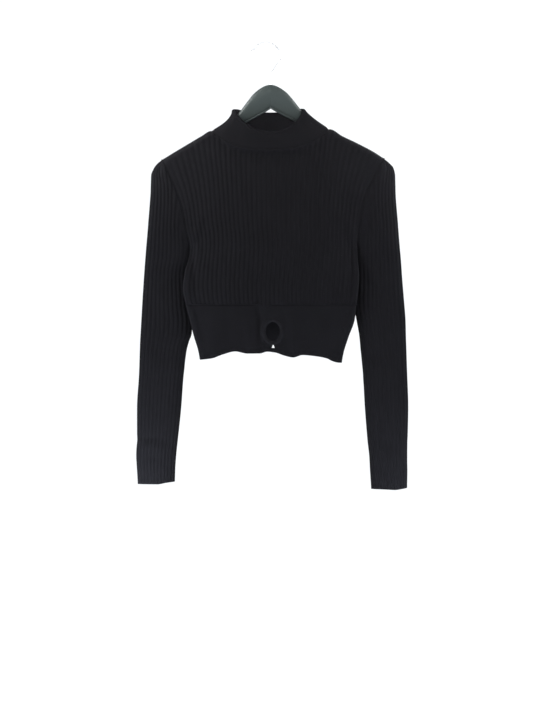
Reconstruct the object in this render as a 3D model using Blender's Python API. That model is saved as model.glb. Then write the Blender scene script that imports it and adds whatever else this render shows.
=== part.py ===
"""A cropped rib-knit sweater on a moulded clothes hanger with a wire hook.

Lengths are millimetres and become metres when a mesh is made. X runs to the
right as seen from the front, Y to the back, Z up. The origin is the inner crown
of the hook, where a rail carries the hanger. Every cloth piece is a thin wall:
an outer face with the raised ribs, and a plain inner face.
"""

import math
from typing import NamedTuple

import bmesh
import bpy
import numpy as np

MM = 0.001

# The cloth
WALL = 1.7
COLLAR_WALL = 2.0
RIB_HEIGHT = 0.9
SEAM_GAP = 0.3
BODY_RIBS = 40
SLEEVE_RIBS = 25

# Heights of the garment's main levels, down from the hook's inner crown
BAND_SEAM = -468.4
ARMPIT = -369.0
SLEEVE_FREE = -400.0
SEAM_DIP = 6.0
SEAM_DIP_WIDTH = 10.0

# How the cloth turns over the shoulders, and how its folded sides hang forward below the armpits
SHOULDER_WRAP = 10.0
SHOULDER_SLOPE = math.radians(29.5)
SIDE_SWAY = -4.0
SIDE_SWAY_FADE = 40.0

# The most that a row's ribs are crowded at the sides, or spread there, to keep the middle's pitch
CROWDING = (0.85, 1.2)

# Where the body rows lie, from the band seam (0) to the shoulder and neck (1)
ROWS_BELOW_ARMPIT = (0.0, 0.012, 0.13, 0.26)
ROWS_ABOVE_ARMPIT = (0.42, 0.47, 0.56, 0.68, 0.80, 0.90, 0.96, 0.985, 1.0)
SLEEVE_HEAD_ROWS = (0.05, 0.12, 0.22, 0.35, 0.5, 0.7, 1.0)

# Columns that the plain faces and the seams keep, counted in half ribs from the left side
PLAIN_COLUMNS = (
    0, 1, 2, 4, 6, 8, 12, 16, 18, 20, 24, 28, 32, 36,
    40, 44, 48, 52, 56, 59, 62, 66, 70, 74, 76, 78, 79, 80,
)
NECK_CORNERS = (16, 62)

# The keyhole in the front band and the rolled ring that edges it
KEYHOLE_X = 12.2
KEYHOLE_Z = -517.9
KEYHOLE_HALF_WIDTH = 13.0
KEYHOLE_HALF_HEIGHT = 17.1
RING_WIDTH = 6.0
RING_THICKNESS = 3.6
GAP_WIDTH = 5.6
GAP_TOP = -539.5
GAP_FOOT = -547.5
BAND_CUT_FRONT = -30.0
BAND_CUT_BACK = -6.0

# The hanger and its hook
HANGER_X = 7.9
HANGER_TILT = math.radians(0.7)
HANGER_PIVOT_Z = -74.0
HANGER_SIDES = 12
HANGER_ROUNDNESS = 0.6
HOOK_RADIUS = 25.5
WIRE = 3.4
STEM_FOOT = -92.0
STEM_TOP = -56.0
SOCKET_CLEARANCE = 0.35
SOCKET_OVERRUN = 10.0


class Edge(NamedTuple):
    """Left and right edge of a tube of cloth at one height."""

    z: float
    left: float
    right: float


class Depth(NamedTuple):
    """Half depths of the body at one height, and the share of its oval that the panels fill."""

    z: float
    front: float
    back: float
    share: float


class Spot(NamedTuple):
    """A point of a line drawn on the front view."""

    x: float
    z: float


class Shift(NamedTuple):
    """How far back a sleeve hangs, and its half depth, at one height."""

    z: float
    back: float
    depth: float


class Arm(NamedTuple):
    """Top, foot and half depth of the hanger at one distance from its middle."""

    reach: float
    top: float
    foot: float
    depth: float


BODY_EDGES = (
    Edge(-571.0, -118.8, 136.8),
    Edge(-554.8, -121.5, 140.0),
    Edge(-526.0, -130.0, 149.2),
    Edge(-497.2, -137.5, 159.5),
    Edge(-468.4, -144.8, 163.0),
    Edge(-440.0, -149.8, 166.5),
    Edge(-415.0, -147.0, 167.6),
    Edge(-391.0, -140.5, 165.2),
    Edge(-380.0, -138.0, 164.6),
    Edge(ARMPIT, -136.8, 164.4),
    Edge(-335.2, -144.0, 167.5),
    Edge(-302.8, -149.4, 171.5),
    Edge(-272.2, -158.4, 180.0),
    Edge(-239.8, -172.8, 194.4),
    Edge(-209.0, -187.2, 212.0),
)

BODY_DEPTHS = (
    Depth(-571.0, 17.0, 15.0, 1.0),
    Depth(-468.4, 20.0, 18.0, 1.0),
    Depth(ARMPIT, 20.0, 18.0, 1.0),
    Depth(-352.0, 20.0, 17.5, 0.95),
    Depth(-330.0, 19.5, 17.0, 0.86),
    Depth(-300.0, 18.5, 16.5, 0.78),
    Depth(-240.0, 16.5, 15.5, 0.76),
    Depth(-190.0, 15.5, 15.0, 0.76),
    Depth(-150.0, 15.0, 15.0, 0.76),
)

SHOULDER_LINE = (
    Spot(-187.2, -209.2),
    Spot(-163.8, -194.8),
    Spot(-139.7, -180.4),
    Spot(-115.4, -166.0),
    Spot(-99.0, -157.0),
    Spot(115.0, -154.0),
    Spot(136.6, -166.0),
    Spot(166.5, -180.4),
    Spot(193.5, -194.8),
    Spot(212.0, -206.8),
)
NECK_LEFT = -98.0
NECK_RIGHT = 113.5
NECK_DROP_FRONT = 37.0
NECK_DROP_BACK = 5.0
NECK_DEPTH_FRONT = 21.0
NECK_DEPTH_BACK = 16.0

RIB_PITCH_AT_SEAM = 7.78
RIB_PITCH_GAIN = 0.0052

COLLAR_FRONT_EDGE = (
    Spot(-61.2, -117.4),
    Spot(-57.0, -121.0),
    Spot(-51.3, -129.5),
    Spot(-38.9, -142.0),
    Spot(-24.3, -152.6),
    Spot(-10.0, -158.0),
    Spot(8.3, -160.2),
    Spot(34.2, -155.4),
    Spot(52.2, -142.7),
    Spot(61.0, -131.0),
    Spot(66.6, -115.6),
)
COLLAR_BACK_EDGE = (
    Spot(-61.2, -117.4),
    Spot(-46.0, -119.4),
    Spot(-20.0, -121.8),
    Spot(10.8, -122.4),
    Spot(40.0, -121.0),
    Spot(66.6, -115.6),
)
COLLAR_DEPTH_FRONT = 19.0
COLLAR_DEPTH_BACK = 16.0
COLLAR_POWER = 3.5
COLLAR_FLARE_LEFT = 1.85
COLLAR_FLARE_RIGHT = 1.2
COLLAR_ROWS = (0.16, 0.42, 0.72, 1.0)
COLLAR_EVENNESS = 0.7

HEM_FRONT = (
    Spot(-118.8, -568.1),
    Spot(-97.2, -565.6),
    Spot(-75.6, -558.2),
    Spot(-54.0, -553.1),
    Spot(-32.4, -556.9),
    Spot(-10.8, -556.7),
    Spot(1.8, -553.5),
    Spot(16.2, -555.1),
    Spot(32.4, -560.5),
    Spot(48.6, -563.8),
    Spot(64.8, -559.6),
    Spot(86.4, -561.4),
    Spot(108.0, -565.4),
    Spot(118.8, -570.2),
    Spot(129.6, -573.1),
    Spot(136.8, -573.5),
)
HEM_BACK = (
    Spot(-118.8, -568.1),
    Spot(-60.0, -549.0),
    Spot(12.0, -537.4),
    Spot(80.0, -550.0),
    Spot(136.8, -573.5),
)
BAND_ROWS = (0.0, 0.2, 0.45, 0.7, 0.88, 1.0)

SLEEVE_LEFT_EDGES = (
    Edge(-798.7, -230.5, -165.0),
    Edge(-770.8, -231.9, -164.3),
    Edge(-742.0, -233.6, -162.4),
    Edge(-713.2, -232.2, -160.2),
    Edge(-655.6, -232.1, -154.8),
    Edge(-598.0, -229.2, -149.6),
    Edge(-554.8, -227.5, -144.4),
    Edge(-526.0, -226.0, -139.2),
    Edge(-470.0, -222.8, -138.6),
    Edge(-391.0, -217.3, -139.6),
    Edge(-380.0, -216.5, -139.6),
    Edge(ARMPIT, -215.7, -138.4),
    Edge(-324.4, -211.8, -137.0),
    Edge(-266.8, -207.4, -136.8),
    Edge(-238.0, -206.8, -136.8),
    Edge(-223.6, -201.4, -136.8),
    Edge(-216.0, -195.6, -136.8),
    Edge(-209.2, -187.6, -136.8),
)
SLEEVE_RIGHT_EDGES = (
    Edge(-798.7, 254.5, 189.2),
    Edge(-770.8, 254.8, 187.4),
    Edge(-742.0, 254.1, 185.8),
    Edge(-713.2, 254.9, 182.2),
    Edge(-655.6, 256.0, 178.8),
    Edge(-598.0, 254.4, 175.9),
    Edge(-554.8, 253.0, 171.5),
    Edge(-526.0, 251.8, 169.0),
    Edge(-497.2, 251.0, 164.0),
    Edge(-470.0, 249.2, 159.6),
    Edge(-415.0, 244.9, 160.0),
    Edge(-391.0, 243.1, 164.2),
    Edge(-380.0, 242.1, 165.8),
    Edge(ARMPIT, 241.0, 165.6),
    Edge(-324.4, 237.2, 165.6),
    Edge(-266.8, 232.5, 165.4),
    Edge(-238.0, 232.2, 165.4),
    Edge(-223.6, 229.2, 165.4),
    Edge(-216.0, 223.0, 165.4),
    Edge(-206.8, 212.4, 165.4),
)
SLEEVE_SHIFTS = (
    Shift(-800.0, 9.0, 11.0),
    Shift(-640.0, 11.0, 12.0),
    Shift(-470.0, 12.5, 13.0),
    Shift(-415.0, 12.0, 13.0),
    Shift(-392.0, 9.5, 13.0),
    Shift(-380.0, 6.0, 13.0),
    Shift(ARMPIT, 0.5, 13.0),
    Shift(-200.0, 0.0, 12.5),
)
SLEEVE_LOWER_ROWS = (-440.0, -485.0, -526.0, -598.0, -656.0, -713.0, -742.0, -770.0)
CUFF_LEFT = -792.0
CUFF_RIGHT = -801.0
CUFF_EDGE = 3.0
SLEEVE_POWER = 2.2
SLEEVE_NOMINAL = (80.0, 13.0)

# The part of a sleeve's width that its armhole seam takes up, and how the seam is spread on it
SEAM_START = 0.28
SEAM_SHARE = 0.62
SEAM_SPREAD = 1.6

# How soon the sleeve's head leaves the armhole's line, sideways and in depth
HEAD_FADE = (8, 10)

HANGER_ARMS = (
    Arm(0.0, -74.2, -112.0, 7.5),
    Arm(9.0, -75.6, -117.4, 7.5),
    Arm(17.0, -79.4, -122.2, 7.2),
    Arm(26.8, -87.0, -128.0, 7.0),
    Arm(33.7, -94.0, -132.2, 6.6),
    Arm(44.5, -108.4, -138.6, 6.2),
    Arm(55.8, -123.4, -145.4, 5.6),
    Arm(68.4, -137.4, -153.0, 5.2),
    Arm(82.8, -149.6, -161.6, 5.0),
    Arm(100.0, -160.6, -172.0, 5.0),
    Arm(122.4, -173.0, -185.2, 5.2),
    Arm(150.0, -187.0, -201.6, 5.5),
    Arm(176.0, -201.2, -217.0, 5.3),
    Arm(192.0, -211.0, -226.0, 4.6),
    Arm(200.0, -217.6, -228.6, 3.2),
)

# Colours and finishes: red, green, blue, roughness, metallic
FINISHES = {
    "knit": (0.012, 0.012, 0.016, 0.92, 0.0),
    "plastic": (0.075, 0.080, 0.083, 0.45, 0.0),
    "chrome": (0.82, 0.83, 0.85, 0.12, 1.0),
}


def smooth(places, values, at):
    """Cubic through the rows of a table that never overshoots, read at the places `at`."""
    order = np.argsort(places)
    x = np.asarray(places, float)[order]
    y = np.asarray(values, float)[order]
    step = np.diff(x)
    slope = np.diff(y) / step
    tangent = np.zeros(len(x))
    tangent[0], tangent[-1] = slope[0], slope[-1]
    for i in range(1, len(x) - 1):
        if slope[i - 1] * slope[i] > 0:
            tangent[i] = 2 * slope[i - 1] * slope[i] / (slope[i - 1] + slope[i])
    at = np.clip(np.asarray(at, float), x[0], x[-1])
    i = np.clip(np.searchsorted(x, at, side="right") - 1, 0, len(step) - 1)
    t = (at - x[i]) / step[i]
    start = (1 + 2 * t) * (1 - t) ** 2 * y[i] + t * (1 - t) ** 2 * step[i] * tangent[i]
    end = t**2 * (3 - 2 * t) * y[i + 1] - t**2 * (1 - t) * step[i] * tangent[i + 1]
    return start + end


def read(table, column, at):
    """One named column of a table of heights, at the heights `at`."""
    return smooth([row.z for row in table], [getattr(row, column) for row in table], at)


def follow(line, x):
    """Height of a line of spots at the places x."""
    return smooth([spot.x for spot in line], [spot.z for spot in line], x)


def oval(across, power=2.0):
    """Depth of a flattened tube, 1 in the middle and 0 at its folded edges."""
    return np.clip(1 - np.abs(across) ** power, 0, 1) ** (1 / power)


def unit(vectors):
    """The vectors at length 1; a zero vector stays zero."""
    return vectors / np.maximum(np.linalg.norm(vectors, axis=-1, keepdims=True), 1e-9)


def neck_place(x):
    """Place across the neck, -1 at its left corner and 1 at its right one."""
    return (x - (NECK_LEFT + NECK_RIGHT) / 2) / ((NECK_RIGHT - NECK_LEFT) / 2)


def top_line(x, front):
    """Height and depth of a panel's upper edge: shoulder, neck, shoulder."""
    drop = NECK_DROP_FRONT if front else NECK_DROP_BACK
    depth = NECK_DEPTH_FRONT if front else NECK_DEPTH_BACK
    place = np.clip(np.abs(neck_place(x)), 0, 1)
    corner = NECK_LEFT + (NECK_RIGHT - NECK_LEFT) * (neck_place(x) + 1) / 2
    shoulder = follow(SHOULDER_LINE, np.where(place < 1, corner, x))
    return shoulder - drop * (1 - place**3), depth * np.sqrt(1 - place**5)


def band_seam(x):
    """Height of the seam between the ribbed body and the band, with its small dip."""
    return BAND_SEAM - SEAM_DIP * np.exp(-((x / SEAM_DIP_WIDTH) ** 2))


def body_depth(across, z, front):
    """Distance from the middle plane to the body's outer face."""
    share = read(BODY_DEPTHS, "share", z)
    return read(BODY_DEPTHS, "front" if front else "back", z) * oval(share * across)


def side_sway(across, z):
    """The body's folded sides hang a little forward of the sleeves."""
    below = np.clip((ARMPIT - z) / SIDE_SWAY_FADE, 0, 1)
    return SIDE_SWAY * below * np.abs(across) ** 4


def body_point(across, up, front):
    """Outer face without ribs: `across` from -1 to 1, `up` from the band seam to the top."""
    x_top = (BODY_EDGES[-1].left * (1 - across) + BODY_EDGES[-1].right * (1 + across)) / 2
    z_top, y_top = top_line(x_top, front)
    z_foot = band_seam(x_top)
    z = z_foot + (z_top - z_foot) * up
    left, right = read(BODY_EDGES, "left", z), read(BODY_EDGES, "right", z)
    x = (left * (1 - across) + right * (1 + across)) / 2
    wrap = np.clip((z_top - z) * math.cos(SHOULDER_SLOPE) / SHOULDER_WRAP, 0, 1)
    turn = np.sqrt(1 - (1 - wrap) ** 2)
    y = y_top + (body_depth(across, z, front) - y_top) * turn
    facing = -1 if front else 1
    seam = facing * SEAM_GAP / 2
    return np.stack([x, facing * y + seam + side_sway(across, z), z], axis=-1)


def body_rows():
    """The heights of the body's rows, the armpit's among them."""
    armpit = (ARMPIT - BAND_SEAM) / (BODY_EDGES[-1].z - BAND_SEAM)
    return (*ROWS_BELOW_ARMPIT, armpit, *ROWS_ABOVE_ARMPIT)


def rib_columns(up):
    """Places across a row of the edges and middles of its ribs, even along the cloth."""
    across = np.sin(np.linspace(-math.pi / 2, math.pi / 2, 801))
    line = body_point(across, np.full_like(across, up), True)
    steps = np.hypot(np.diff(line[:, 0]), np.diff(line[:, 1]))
    run = np.concatenate([[0], np.cumsum(steps)])
    middle_z = line[len(line) // 2, 2]
    pitch = RIB_PITCH_AT_SEAM + RIB_PITCH_GAIN * (middle_z - BAND_SEAM)
    crowd = np.clip(pitch * BODY_RIBS / run[-1], *CROWDING)
    rib = np.linspace(-1, 1, 2 * BODY_RIBS + 1)
    spread = crowd * rib + (1 - crowd) * rib**3
    return np.interp(run[-1] * (1 + spread) / 2, run, across)


def grid_normals(points, outward, ring=False):
    """Unit normals of a grid of points; `outward` is the sign that faces out."""
    up = np.gradient(points, axis=0)
    if ring:
        across = np.roll(points, -1, axis=1) - np.roll(points, 1, axis=1)
    else:
        across = np.gradient(points, axis=1)
    return outward * unit(np.cross(across, up))


class Wall:
    """A cloth wall under construction: rows of outer and of inner points."""

    def __init__(self):
        self.outer = []
        self.inner = []
        self.outer_at = []
        self.inner_at = []

    def add(self, outer, inner, outer_at, inner_at):
        """Add one row, each face with its points' places along the row."""
        self.outer.append(outer)
        self.inner.append(inner)
        self.outer_at.append(list(outer_at))
        self.inner_at.append(list(inner_at))

    def build(self, name, finish, ring):
        """Close the wall round its rims and make the object."""
        mesh = bmesh.new()
        faces = []
        for rows in (self.outer, self.inner):
            faces.append([[mesh.verts.new(point * MM) for point in row] for row in rows])
        for rows, places in zip(faces, (self.outer_at, self.inner_at)):
            for i in range(len(rows) - 1):
                stitch(mesh, rows[i], rows[i + 1], places[i], places[i + 1], ring)
        for end in (0, -1):
            stitch(
                mesh, faces[0][end], faces[1][end], self.outer_at[end], self.inner_at[end], ring
            )
        if not ring:
            for side in (0, -1):
                outer = [row[side] for row in faces[0]]
                inner = [row[side] for row in faces[1]]
                count = list(range(len(outer)))
                stitch(mesh, outer, inner, count, count, False)
        face_outwards(mesh)
        return make_object(name, mesh, finish)


def split_quad(mesh, corners):
    """Two triangles across the shorter diagonal, so that facing rims bend alike."""
    a, b, c, d = corners
    if (a.co - c.co).length < (b.co - d.co).length:
        mesh.faces.new((a, b, c))
        mesh.faces.new((a, c, d))
    else:
        mesh.faces.new((a, b, d))
        mesh.faces.new((b, c, d))


def stitch(mesh, low, high, low_at, high_at, ring):
    """Fill the strip between two rows of vertices, matched by their places."""
    if ring:
        low, high = low + low[:1], high + high[:1]
        low_at, high_at = low_at + [2.0], high_at + [2.0]
    if list(low_at) == list(high_at):
        for corners in zip(low, low[1:], high[1:], high):
            split_quad(mesh, corners)
        return
    i = j = 0
    while i < len(low) - 1 or j < len(high) - 1:
        low_next = low_at[i + 1] if i < len(low) - 1 else math.inf
        high_next = high_at[j + 1] if j < len(high) - 1 else math.inf
        if low_next <= high_next:
            mesh.faces.new((low[i], low[i + 1], high[j]))
            i += 1
        else:
            mesh.faces.new((low[i], high[j + 1], high[j]))
            j += 1


def material(finish):
    """A Principled finish, made once and shared."""
    if finish in bpy.data.materials:
        return bpy.data.materials[finish]
    red, green, blue, roughness, metallic = FINISHES[finish]
    made = bpy.data.materials.new(finish)
    made.use_nodes = True
    shader = made.node_tree.nodes["Principled BSDF"]
    shader.inputs["Base Color"].default_value = (red, green, blue, 1.0)
    shader.inputs["Roughness"].default_value = roughness
    shader.inputs["Metallic"].default_value = metallic
    return made


def face_outwards(mesh):
    """Turn every face of a closed mesh outwards."""
    mesh.normal_update()
    bmesh.ops.recalc_face_normals(mesh, faces=mesh.faces[:])


def make_object(name, mesh, finish):
    """Turn a bmesh into a smooth-shaded object of the sweater's collection."""
    data = bpy.data.meshes.new(name)
    mesh.to_mesh(data)
    mesh.free()
    data.materials.append(material(finish))
    data.shade_smooth()
    data.set_sharp_from_angle(angle=math.radians(50))
    made = bpy.data.objects.new(name, data)
    bpy.data.collections["sweater"].objects.link(made)
    return made


def panel_faces(front):
    """Outer face without ribs, its normals and the inner face of a body panel."""
    rows = body_rows()
    points = np.array([body_point(rib_columns(up), np.full(2 * BODY_RIBS + 1, up), front)
                       for up in rows])
    normals = grid_normals(points, 1 if front else -1)
    armpit_row = len(ROWS_BELOW_ARMPIT)
    for column, fold in ((0, (-1, 0, 0)), (-1, (1, 0, 0))):
        normals[:armpit_row, column] = fold
        normals[armpit_row, column] = (0.3 * fold[0], 0, -1)
        for row, part in ((armpit_row + 1, 0.6), (armpit_row + 2, 0.25)):
            normals[row, column] = (1 - part) * normals[row, column] - part * np.array([0, 0, 1])
    shoulder = np.abs(neck_place(points[-1, :, 0])) >= 1
    normals[-1, shoulder, 1] = 0
    normals = unit(normals)
    return points, normals, points - WALL * normals


def body_panel(name, front):
    """Front or back: ribbed outside, plain inside, seams plain all round."""
    points, normals, inner = panel_faces(front)
    plain = list(PLAIN_COLUMNS)
    column = np.arange(2 * BODY_RIBS + 1)
    count = len(column)
    raised = RIB_HEIGHT * (column % 2) * np.clip(np.minimum(column, column[::-1]) / 3, 0, 1)
    wall = Wall()
    for i in range(len(points)):
        if i in (0, len(points) - 1):
            wall.add(points[i, plain], inner[i, plain], plain, plain)
            continue
        ribbed = points[i] + raised[:, None] * normals[i]
        wall.add(ribbed, inner[i, plain], range(count), plain)
    return wall.build(name, "knit", ring=False)


def beyond_seam(outer, inner, towards):
    """The first row of the next piece: the seam's rims moved a gap along the cloth."""
    along = np.gradient(outer, axis=0)
    step = unit(np.cross(outer - inner, along))
    facing = np.sign(np.sum(step * towards, axis=1, keepdims=True))
    facing[facing == 0] = 1
    return outer + SEAM_GAP * facing * step, inner + SEAM_GAP * facing * step


def armhole(side):
    """Front and back rims of an armhole from the shoulder down to the armpit, as one ring."""
    column = 0 if side < 0 else -1
    start = len(ROWS_BELOW_ARMPIT)
    rims = []
    for front in (True, False):
        points, _, inner = panel_faces(front)
        outer_rim = points[start:, column][::-1]
        inner_rim = inner[start:, column][::-1]
        outwards = np.array([side, 0, -0.2])
        rims.append(beyond_seam(outer_rim, inner_rim, outwards))
    rings = []
    for face in (0, 1):
        front_rim, back_rim = rims[0][face], rims[1][face]
        shoulder = (front_rim[0] + back_rim[0]) / 2
        armpit = (front_rim[-1] + back_rim[-1]) / 2
        rings.append(np.concatenate([[shoulder], front_rim[1:-1], [armpit], back_rim[-2:0:-1]]))
    return rings[0], rings[1]


def sleeve_places():
    """Places across the sleeve's face of its rib edges, even along the cloth."""
    across = np.sin(np.linspace(-math.pi / 2, math.pi / 2, 401))
    width, depth = SLEEVE_NOMINAL
    run = np.hypot(np.diff(across) * width / 2, np.diff(oval(across, SLEEVE_POWER)) * depth)
    run = np.concatenate([[0], np.cumsum(run)])
    return (np.interp(np.linspace(0, run[-1], SLEEVE_RIBS + 1), run, across) + 1) / 2


def sleeve_ring(edges, place, front, z):
    """Ring of the free-hanging sleeve tube: `place` 0 at its outer fold, 1 at its inner."""
    outer, inner = read(edges, "left", z), read(edges, "right", z)
    sway = read(SLEEVE_SHIFTS, "back", z)
    depth = read(SLEEVE_SHIFTS, "depth", z) * oval(2 * place - 1, SLEEVE_POWER)
    facing = np.where(front, -1, 1)
    return np.stack([outer + (inner - outer) * place, sway + facing * depth, z], axis=-1)


def sleeve_rows(edges, side, cuff):
    """Rings of points down a sleeve, the armhole's own first and the cuff last."""
    ring, ring_inner = armhole(side)
    half = len(ring) // 2
    places = sleeve_places()
    front = np.concatenate([np.full(SLEEVE_RIBS + 1, True), np.full(SLEEVE_RIBS - 1, False)])
    place = np.concatenate([places, places[-2:0:-1]])
    share = np.clip((place - SEAM_START) / SEAM_SHARE, 0, 1) ** SEAM_SPREAD
    head = np.zeros((2 * SLEEVE_RIBS, 3))
    for is_front in (True, False):
        rim = ring[: half + 1] if is_front else np.concatenate([ring[:1], ring[:half - 1:-1]])
        run = np.concatenate([[0], np.cumsum(np.linalg.norm(np.diff(rim, axis=0), axis=1))])
        for axis in range(3):
            seam = np.interp(share * run[-1], run, rim[:, axis])
            head[front == is_front, axis] = seam[front == is_front]
    rows = [head]
    pull = head - sleeve_ring(edges, place, front, head[:, 2])
    for down in SLEEVE_HEAD_ROWS:
        z = head[:, 2] + (SLEEVE_FREE - head[:, 2]) * down
        fade = np.array([(1 - down) ** HEAD_FADE[0], (1 - down) ** HEAD_FADE[1], 0.0])
        rows.append(sleeve_ring(edges, place, front, z) + pull * fade)
    for z in (*SLEEVE_LOWER_ROWS, cuff + CUFF_EDGE, cuff):
        rows.append(sleeve_ring(edges, place, front, np.full(2 * SLEEVE_RIBS, z)))
    around = np.where(front, place, 2 - place)
    seam_at = share_places(ring, half)
    return ring, ring_inner, np.array(rows), around, seam_at


def share_places(ring, half):
    """Places round the sleeve of the armhole's points, to match them with the ribs."""
    run = np.cumsum(np.linalg.norm(np.diff(ring[: half + 1], axis=0), axis=1))
    front = SEAM_START + SEAM_SHARE * (run / run[-1]) ** (1 / SEAM_SPREAD)
    front = np.concatenate([[0], front[:-1], [1]])
    return np.concatenate([front, 2 - front[-2:0:-1]])


def sleeve(name, edges, side, cuff):
    """A whole sleeve: one tube from the armhole to the open cuff."""
    ring, ring_inner, rows, around, seam_at = sleeve_rows(edges, side, cuff)
    normals = grid_normals(rows, side, ring=True)
    count = 2 * SLEEVE_RIBS
    plain = sorted({0, 1, count - 1, SLEEVE_RIBS - 1, SLEEVE_RIBS, SLEEVE_RIBS + 1}
                   | set(range(3, SLEEVE_RIBS - 1, 3)) | set(range(SLEEVE_RIBS + 3, count - 1, 3)))
    raised = RIB_HEIGHT * (np.arange(count) % 2)
    clear_of_body = np.clip(4.0 * np.abs(around - 1.0) - 0.3, 0, 1)
    wall = Wall()
    wall.add(ring, ring_inner, seam_at, seam_at)
    for i in range(1, len(rows)):
        inner = (rows[i] - WALL * normals[i])[plain]
        if i == len(rows) - 1:
            wall.add(rows[i][plain], inner, around[plain], around[plain])
            continue
        lift = raised * clear_of_body if i <= len(SLEEVE_HEAD_ROWS) else raised
        wall.add(rows[i] + lift[:, None] * normals[i], inner, around, around[plain])
    return wall.build(name, "knit", ring=True)


def collar(name):
    """The funnel collar: one closed ring from the neck seam to its free edge."""
    rims = []
    for front in (True, False):
        points, _, inner = panel_faces(front)
        keep = [i for i in PLAIN_COLUMNS if NECK_CORNERS[0] <= i <= NECK_CORNERS[1]]
        across = neck_place(points[-1, keep, 0])
        upwards = np.stack([-across, 0 * across, 0.6 + 0 * across], axis=-1)
        rims.append(beyond_seam(points[-1, keep], inner[-1, keep], upwards))
    base = []
    for face in (0, 1):
        front_rim, back_rim = rims[0][face], rims[1][face]
        left = (front_rim[0] + back_rim[0]) / 2
        right = (front_rim[-1] + back_rim[-1]) / 2
        base.append(np.concatenate([[left], front_rim[1:-1], [right], back_rim[-2:0:-1]]))
    half = len(rims[0][0]) - 1
    count = len(base[0])
    place = np.concatenate([np.linspace(0, 1, half + 1), np.linspace(1, 0, half + 1)[1:-1]])
    front = np.arange(count) <= half
    left, right = COLLAR_FRONT_EDGE[0].x, COLLAR_FRONT_EDGE[-1].x
    even = (1 - np.cos(math.pi * place)) / 2
    x = left + (right - left) * (place + COLLAR_EVENNESS * (even - place))
    z = np.where(front, follow(COLLAR_FRONT_EDGE, x), follow(COLLAR_BACK_EDGE, x))
    across = 2 * (x - left) / (right - left) - 1
    y = np.where(front, -COLLAR_DEPTH_FRONT, COLLAR_DEPTH_BACK) * oval(across, COLLAR_POWER)
    rim = np.stack([x, y, z], axis=-1)
    flare = COLLAR_FLARE_LEFT + (COLLAR_FLARE_RIGHT - COLLAR_FLARE_LEFT) * place
    rows = [base[0]]
    for up in COLLAR_ROWS:
        sweep = np.stack([1 - (1 - up) ** flare, np.full(count, up), np.full(count, up)], axis=-1)
        rows.append(base[0] + (rim - base[0]) * sweep)
    rows = np.array(rows)
    normals = grid_normals(rows, 1, ring=True)
    at = list(np.where(front, place, 2 - place))
    wall = Wall()
    wall.add(base[0], base[1], at, at)
    for i in range(1, len(rows)):
        wall.add(rows[i], rows[i] - COLLAR_WALL * normals[i], at, at)
    return wall.build(name, "knit", ring=True)


def band_point(across, down, front):
    """Outer face of the band: `down` runs from the seam (0) to the hem (1)."""
    seam = body_point(across, np.zeros_like(across), front)
    hem_x = (BODY_EDGES[0].left * (1 - across) + BODY_EDGES[0].right * (1 + across)) / 2
    hem = follow(HEM_FRONT if front else HEM_BACK, hem_x)
    z = seam[:, 2] - SEAM_GAP + (hem - seam[:, 2] + SEAM_GAP) * down
    left, right = read(BODY_EDGES, "left", z), read(BODY_EDGES, "right", z)
    facing = -1 if front else 1
    y = facing * (body_depth(across, z, front) + SEAM_GAP / 2) + side_sway(across, z)
    return np.stack([(left * (1 - across) + right * (1 + across)) / 2, y, z], axis=-1)


def band_wall(name, front):
    """Half of the waistband, a plain wall."""
    plain = list(PLAIN_COLUMNS)
    across = rib_columns(0.0)[plain]
    points = np.array([band_point(across, down, front) for down in BAND_ROWS])
    normals = grid_normals(points, -1 if front else 1)
    normals[:, 0] = (-1, 0, 0)
    normals[:, -1] = (1, 0, 0)
    _, body_normals, _ = panel_faces(front)
    normals[0] = body_normals[0, plain]
    wall = Wall()
    for i in range(len(points)):
        wall.add(points[i], points[i] - WALL * normals[i], plain, plain)
    return wall.build(name, "knit", ring=False)


def keyhole_face(x):
    """Outer face of the front band at the keyhole's height, at the places x."""
    left = read(BODY_EDGES, "left", KEYHOLE_Z)
    right = read(BODY_EDGES, "right", KEYHOLE_Z)
    across = 2 * (x - left) / (right - left) - 1
    return -body_depth(across, KEYHOLE_Z, True)


def cutter(name, mesh):
    """An object that only cuts."""
    data = bpy.data.meshes.new(name)
    mesh.to_mesh(data)
    mesh.free()
    made = bpy.data.objects.new(name, data)
    made.hide_render = True
    made.display_type = "WIRE"
    bpy.data.collections["cutters"].objects.link(made)
    return made


def cut(target, tool):
    """Subtract the tool from the target."""
    step = target.modifiers.new(tool.name, "BOOLEAN")
    step.operation = "DIFFERENCE"
    step.solver = "EXACT"
    step.object = tool


def keyhole_cutters():
    """An oval through the front band, and the small gap left open under it."""
    reach = RING_WIDTH / 2 + SEAM_GAP
    hole = bmesh.new()
    bmesh.ops.create_cone(hole, cap_ends=True, segments=40, radius1=1, radius2=1, depth=1)
    for vertex in hole.verts:
        x = (KEYHOLE_HALF_WIDTH + RING_WIDTH / 2 + reach) * vertex.co.x
        z = (KEYHOLE_HALF_HEIGHT + RING_WIDTH / 2 + reach) * vertex.co.y
        y = (BAND_CUT_FRONT + BAND_CUT_BACK) / 2 + (BAND_CUT_BACK - BAND_CUT_FRONT) * vertex.co.z
        vertex.co = (MM * (KEYHOLE_X + x), MM * y, MM * (KEYHOLE_Z + z))
    face_outwards(hole)
    gap = bmesh.new()
    corners = ((0.0, GAP_TOP), (-GAP_WIDTH / 2, GAP_FOOT), (GAP_WIDTH / 2, GAP_FOOT))
    rims = []
    for y in (BAND_CUT_FRONT, BAND_CUT_BACK):
        rims.append([gap.verts.new((MM * (KEYHOLE_X + x), MM * y, MM * z)) for x, z in corners])
    gap.faces.new(rims[0])
    gap.faces.new(rims[1])
    for i in range(3):
        j = (i + 1) % 3
        gap.faces.new((rims[0][i], rims[0][j], rims[1][j], rims[1][i]))
    face_outwards(gap)
    return cutter("keyhole_cut", hole), cutter("gap_cut", gap)


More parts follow.
